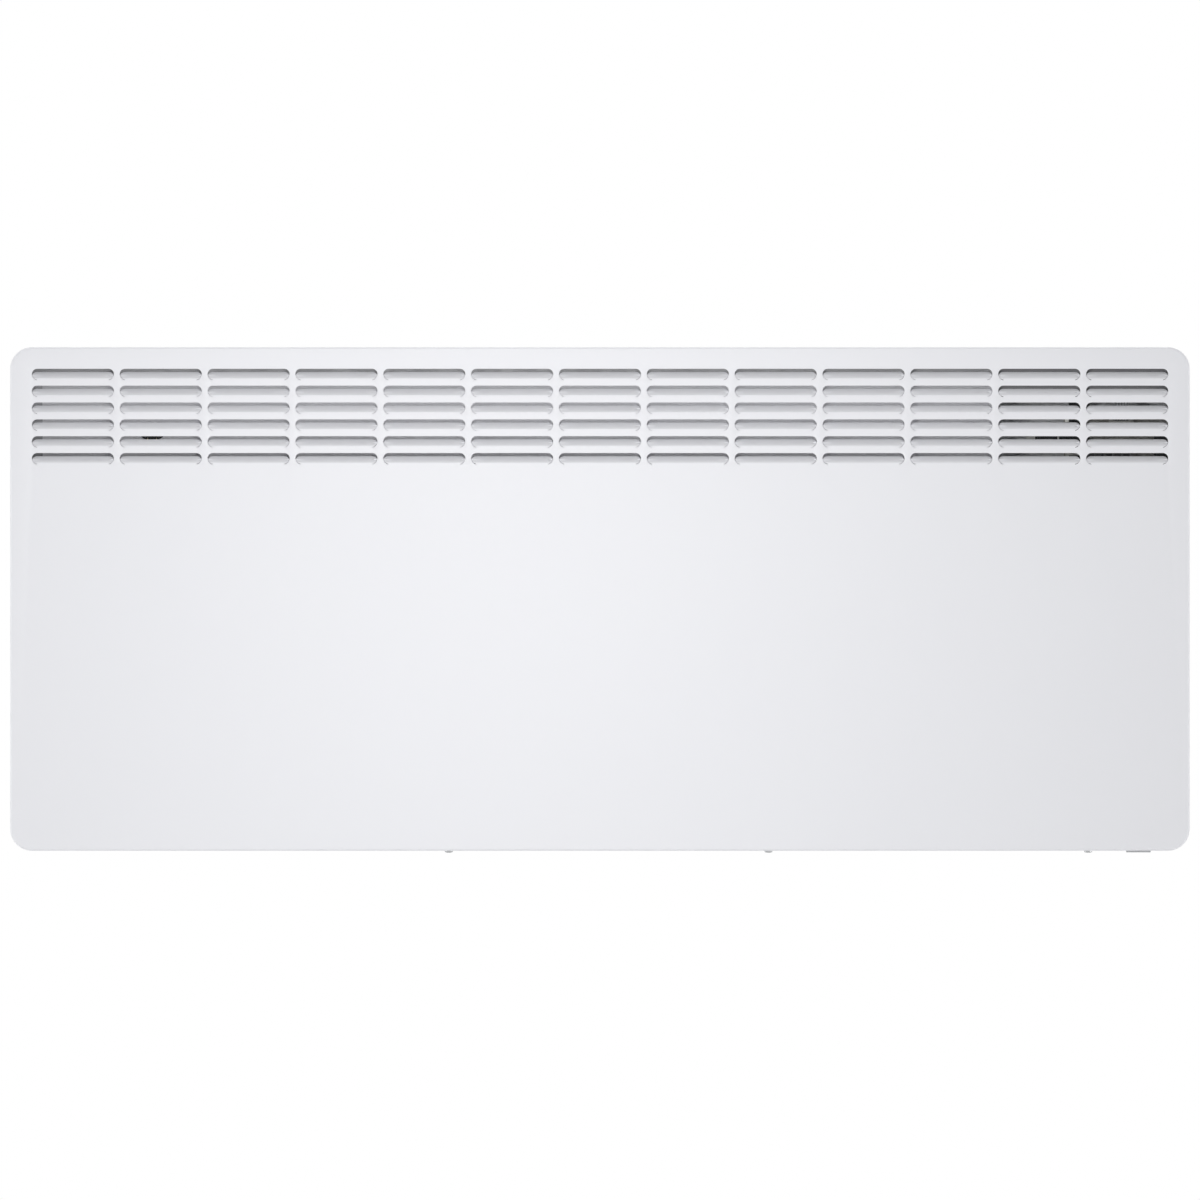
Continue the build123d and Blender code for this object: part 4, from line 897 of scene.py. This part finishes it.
def rocker_mark(name, side, outlines):
    """Generic mark on one half of the rocker's face."""
    along = Vector((math.cos(ROCKER_REST), 0, math.sin(ROCKER_REST)))
    up = Vector((-math.sin(ROCKER_REST), 0, math.cos(ROCKER_REST)))
    centre = Vector(ROCKER_JOINT["pos_m"]) + along * (ROCKER_MARK_REACH * side) - up * ROCKER_FACE_DROP
    slope = (along - up * (ROCKER_FALL * side)).normalized()
    out = Vector((slope.z, 0, -slope.x))
    bm = bmesh.new()
    for outline in outlines:
        prism(bm, outline, -ROCKER_MARK_SINK, MARK_THICKNESS,
              lambda a, b, height: centre + slope * a + Vector((0, b, 0)) + out * height)
    close_piece(bm, name, "rocker", "light_plastic", finish=DARK_MARK)


# ---- the new pieces ------------------------------------------------------------------------------
front_cover()
cover_screws()
thermal_cutout()
deflector_shade_lap()
harness_ties()
housing_ear()
for key, outlines in KEY_MARKS.items():
    key_mark(key, outlines)
rocker_mark("on_mark", 1, ROCKER_STROKE)
rocker_mark("off_mark", -1, ROCKER_RING)


# ---- carried-over nodes: edges broken and finishes applied ---------------------------------------
WELD_REACH = 0.01 * MM
FLAT = math.radians(0.5)       # faces that turn less than this are made one
EDGE_WIDTH = {
    "rear_panel": 0.25 * MM, "inlet_panel": 0.25 * MM,
    "wall_upright_left": 0.5 * MM, "wall_upright_right": 0.5 * MM,
    "wall_rail_upper": 0.5 * MM, "wall_rail_lower": 0.5 * MM, "wall_spacers": 0.8 * MM,
    "control_housing": 0.4 * MM, "cable_gland": 0.5 * MM, "switch_housing": 0.5 * MM,
    "terminal_block": 0.4 * MM, "relays": 0.5 * MM, "capacitor": 0.8 * MM,
    "power_plug": 0.4 * MM, "service_plug": 0.4 * MM, "ribbon_connector": 0.3 * MM,
    "key_menu": 0.35 * MM, "key_plus": 0.35 * MM, "key_ok": 0.35 * MM, "key_minus": 0.35 * MM,
    "switch_rocker": 0.3 * MM, "insulator_left": 0.6 * MM, "insulator_right": 0.6 * MM,
    "sensor_clip": 0.4 * MM, "element_fins": 0.3 * MM,
}


def finish_nodes():
    """Gives each node its slot's material, and broken edges where it is in the table."""
    slot_of = {row["node"]: row["material_slot"] for row in frame["record"]["subparts"]}
    for name, node in frame["nodes"].items():
        node.data.materials.clear()
        node.data.materials.append(MATERIALS[slot_of[name]])
        weld = node.modifiers.new("weld", "WELD")
        weld.merge_threshold = WELD_REACH
        if name in EDGE_WIDTH:
            plain = node.modifiers.new("plain", "DECIMATE")
            plain.decimate_type = "DISSOLVE"
            plain.angle_limit = FLAT
            break_edges(node, EDGE_WIDTH[name])
    # the deflector takes the sheet with painted light at its foot
    frame["nodes"]["air_deflector"].data.materials[0] = PAINTED_LIGHT_SHEET


finish_nodes()


# ---- stage, light and camera ---------------------------------------------------------------------
PHOTO_SIZE = 1200
PHOTO_SCALE = 1.12349          # pixels for each millimetre at the cover's front
PHOTO_DROP = 1.05              # pixels from the cover's middle down to the picture's
CAMERA_DISTANCE = 20.0
CAMERA_REACH = 100.0
SENSOR = 36.0

AMBIENT = 0.355                # world's light on the object; white is 1
LAMP_AIM = (0, -0.05, 0)
FRONT_LAMP_X = -0.1
FRONT_LAMP_Z = 0.15
# name, place, width and height, watts, and what it points at
LAMPS = (
    ("front_lamp", (FRONT_LAMP_X, FRONT_Y - 1.38, FRONT_LAMP_Z), (0.3, 0.7), 8.6,
     (FRONT_LAMP_X, FRONT_Y, FRONT_LAMP_Z)),
    ("rear_lamp", (0.4, 3.2, 1.2), (2.8, 2.2), 20, LAMP_AIM),
    ("top_lamp", (0, 0.3, 2.4), (2.4, 0.5), 20, LAMP_AIM),
    ("side_lamp", (-2.5, -0.3, 0), (0.4, 1.2), 14, LAMP_AIM),
    ("side_lamp", (2.5, -0.3, 0), (0.4, 1.2), 14, LAMP_AIM),
)

FLOOR_RADIUS = 2.2
FLOOR_HEIGHT = -0.8
FLOOR_SIDES = 96
FLOOR_FADE = (0.35 * FLOOR_RADIUS, 0.97 * FLOOR_RADIUS)      # from plain floor to white


def white_world():
    """White to the camera, in reflections and through glass; an even, weaker light for the rest."""
    world = bpy.data.worlds.new("world")
    bpy.context.scene.world = world
    world.use_nodes = True
    tree = world.node_tree
    tree.nodes.clear()
    rays = tree.nodes.new("ShaderNodeLightPath")
    seen = rays.outputs["Is Camera Ray"]
    for kind in ("Is Glossy Ray", "Is Transmission Ray"):
        either = tree.nodes.new("ShaderNodeMath")
        either.operation = "MAXIMUM"
        tree.links.new(seen, either.inputs[0])
        tree.links.new(rays.outputs[kind], either.inputs[1])
        seen = either.outputs["Value"]
    mix = tree.nodes.new("ShaderNodeMixShader")
    tree.links.new(seen, mix.inputs["Fac"])
    for into, strength in zip(mix.inputs[1:], (AMBIENT, 1.0)):
        background = tree.nodes.new("ShaderNodeBackground")
        background.inputs["Color"].default_value = (1, 1, 1, 1)
        background.inputs["Strength"].default_value = strength
        tree.links.new(background.outputs["Background"], into)
    out = tree.nodes.new("ShaderNodeOutputWorld")
    tree.links.new(mix.outputs["Shader"], out.inputs["Surface"])


def soft_lamp(name, location, size, power, aim):
    """Rectangular lamp turned towards its aim."""
    data = bpy.data.lights.new(name, "AREA")
    data.shape = "RECTANGLE"
    data.size, data.size_y = size
    data.energy = power
    lamp = bpy.data.objects.new(name, data)
    bpy.context.scene.collection.objects.link(lamp)
    lamp.location = location
    lamp.rotation_euler = (Vector(aim) - Vector(location)).to_track_quat("-Z", "Y").to_euler()


def pale_floor():
    """Round floor well below the heater; it turns into the white background towards its rim."""
    bm = bmesh.new()
    bmesh.ops.create_circle(bm, cap_ends=True, segments=FLOOR_SIDES, radius=FLOOR_RADIUS)
    floor = new_object(bm, "floor")
    floor.location = (0, 0, FLOOR_HEIGHT)
    m = Material("floor", (0.8, 0.8, 0.8), roughness=0.9)
    length = m.add("ShaderNodeVectorMath", operation="LENGTH")
    m.link(m.place, length.inputs[0])
    white = m.add("ShaderNodeEmission", Strength=1.0)
    mix = m.add("ShaderNodeMixShader")
    m.link(m.ramp(length.outputs["Value"], FLOOR_FADE), mix.inputs["Fac"])
    m.link(m.shader.outputs["BSDF"], mix.inputs[1])
    m.link(white.outputs["Emission"], mix.inputs[2])
    m.link(mix.outputs["Shader"], m.tree.nodes["Material Output"].inputs["Surface"])
    floor.data.materials.append(m.material)


def photo_camera():
    """Far camera with a long lens, square to the front."""
    data = bpy.data.cameras.new("camera")
    camera = bpy.data.objects.new("camera", data)
    bpy.context.scene.collection.objects.link(camera)
    seen_width = PHOTO_SIZE / PHOTO_SCALE * MM
    data.sensor_width = SENSOR
    data.lens = SENSOR * CAMERA_DISTANCE / seen_width
    data.clip_end = CAMERA_REACH
    camera.location = (0, FRONT_Y - CAMERA_DISTANCE, -PHOTO_DROP / PHOTO_SCALE * MM)
    camera.rotation_euler = (math.pi / 2, 0, 0)
    bpy.context.scene.camera = camera


white_world()
for lamp in LAMPS:
    soft_lamp(*lamp)
pale_floor()
photo_camera()
bpy.context.scene.view_settings.view_transform = "Standard"
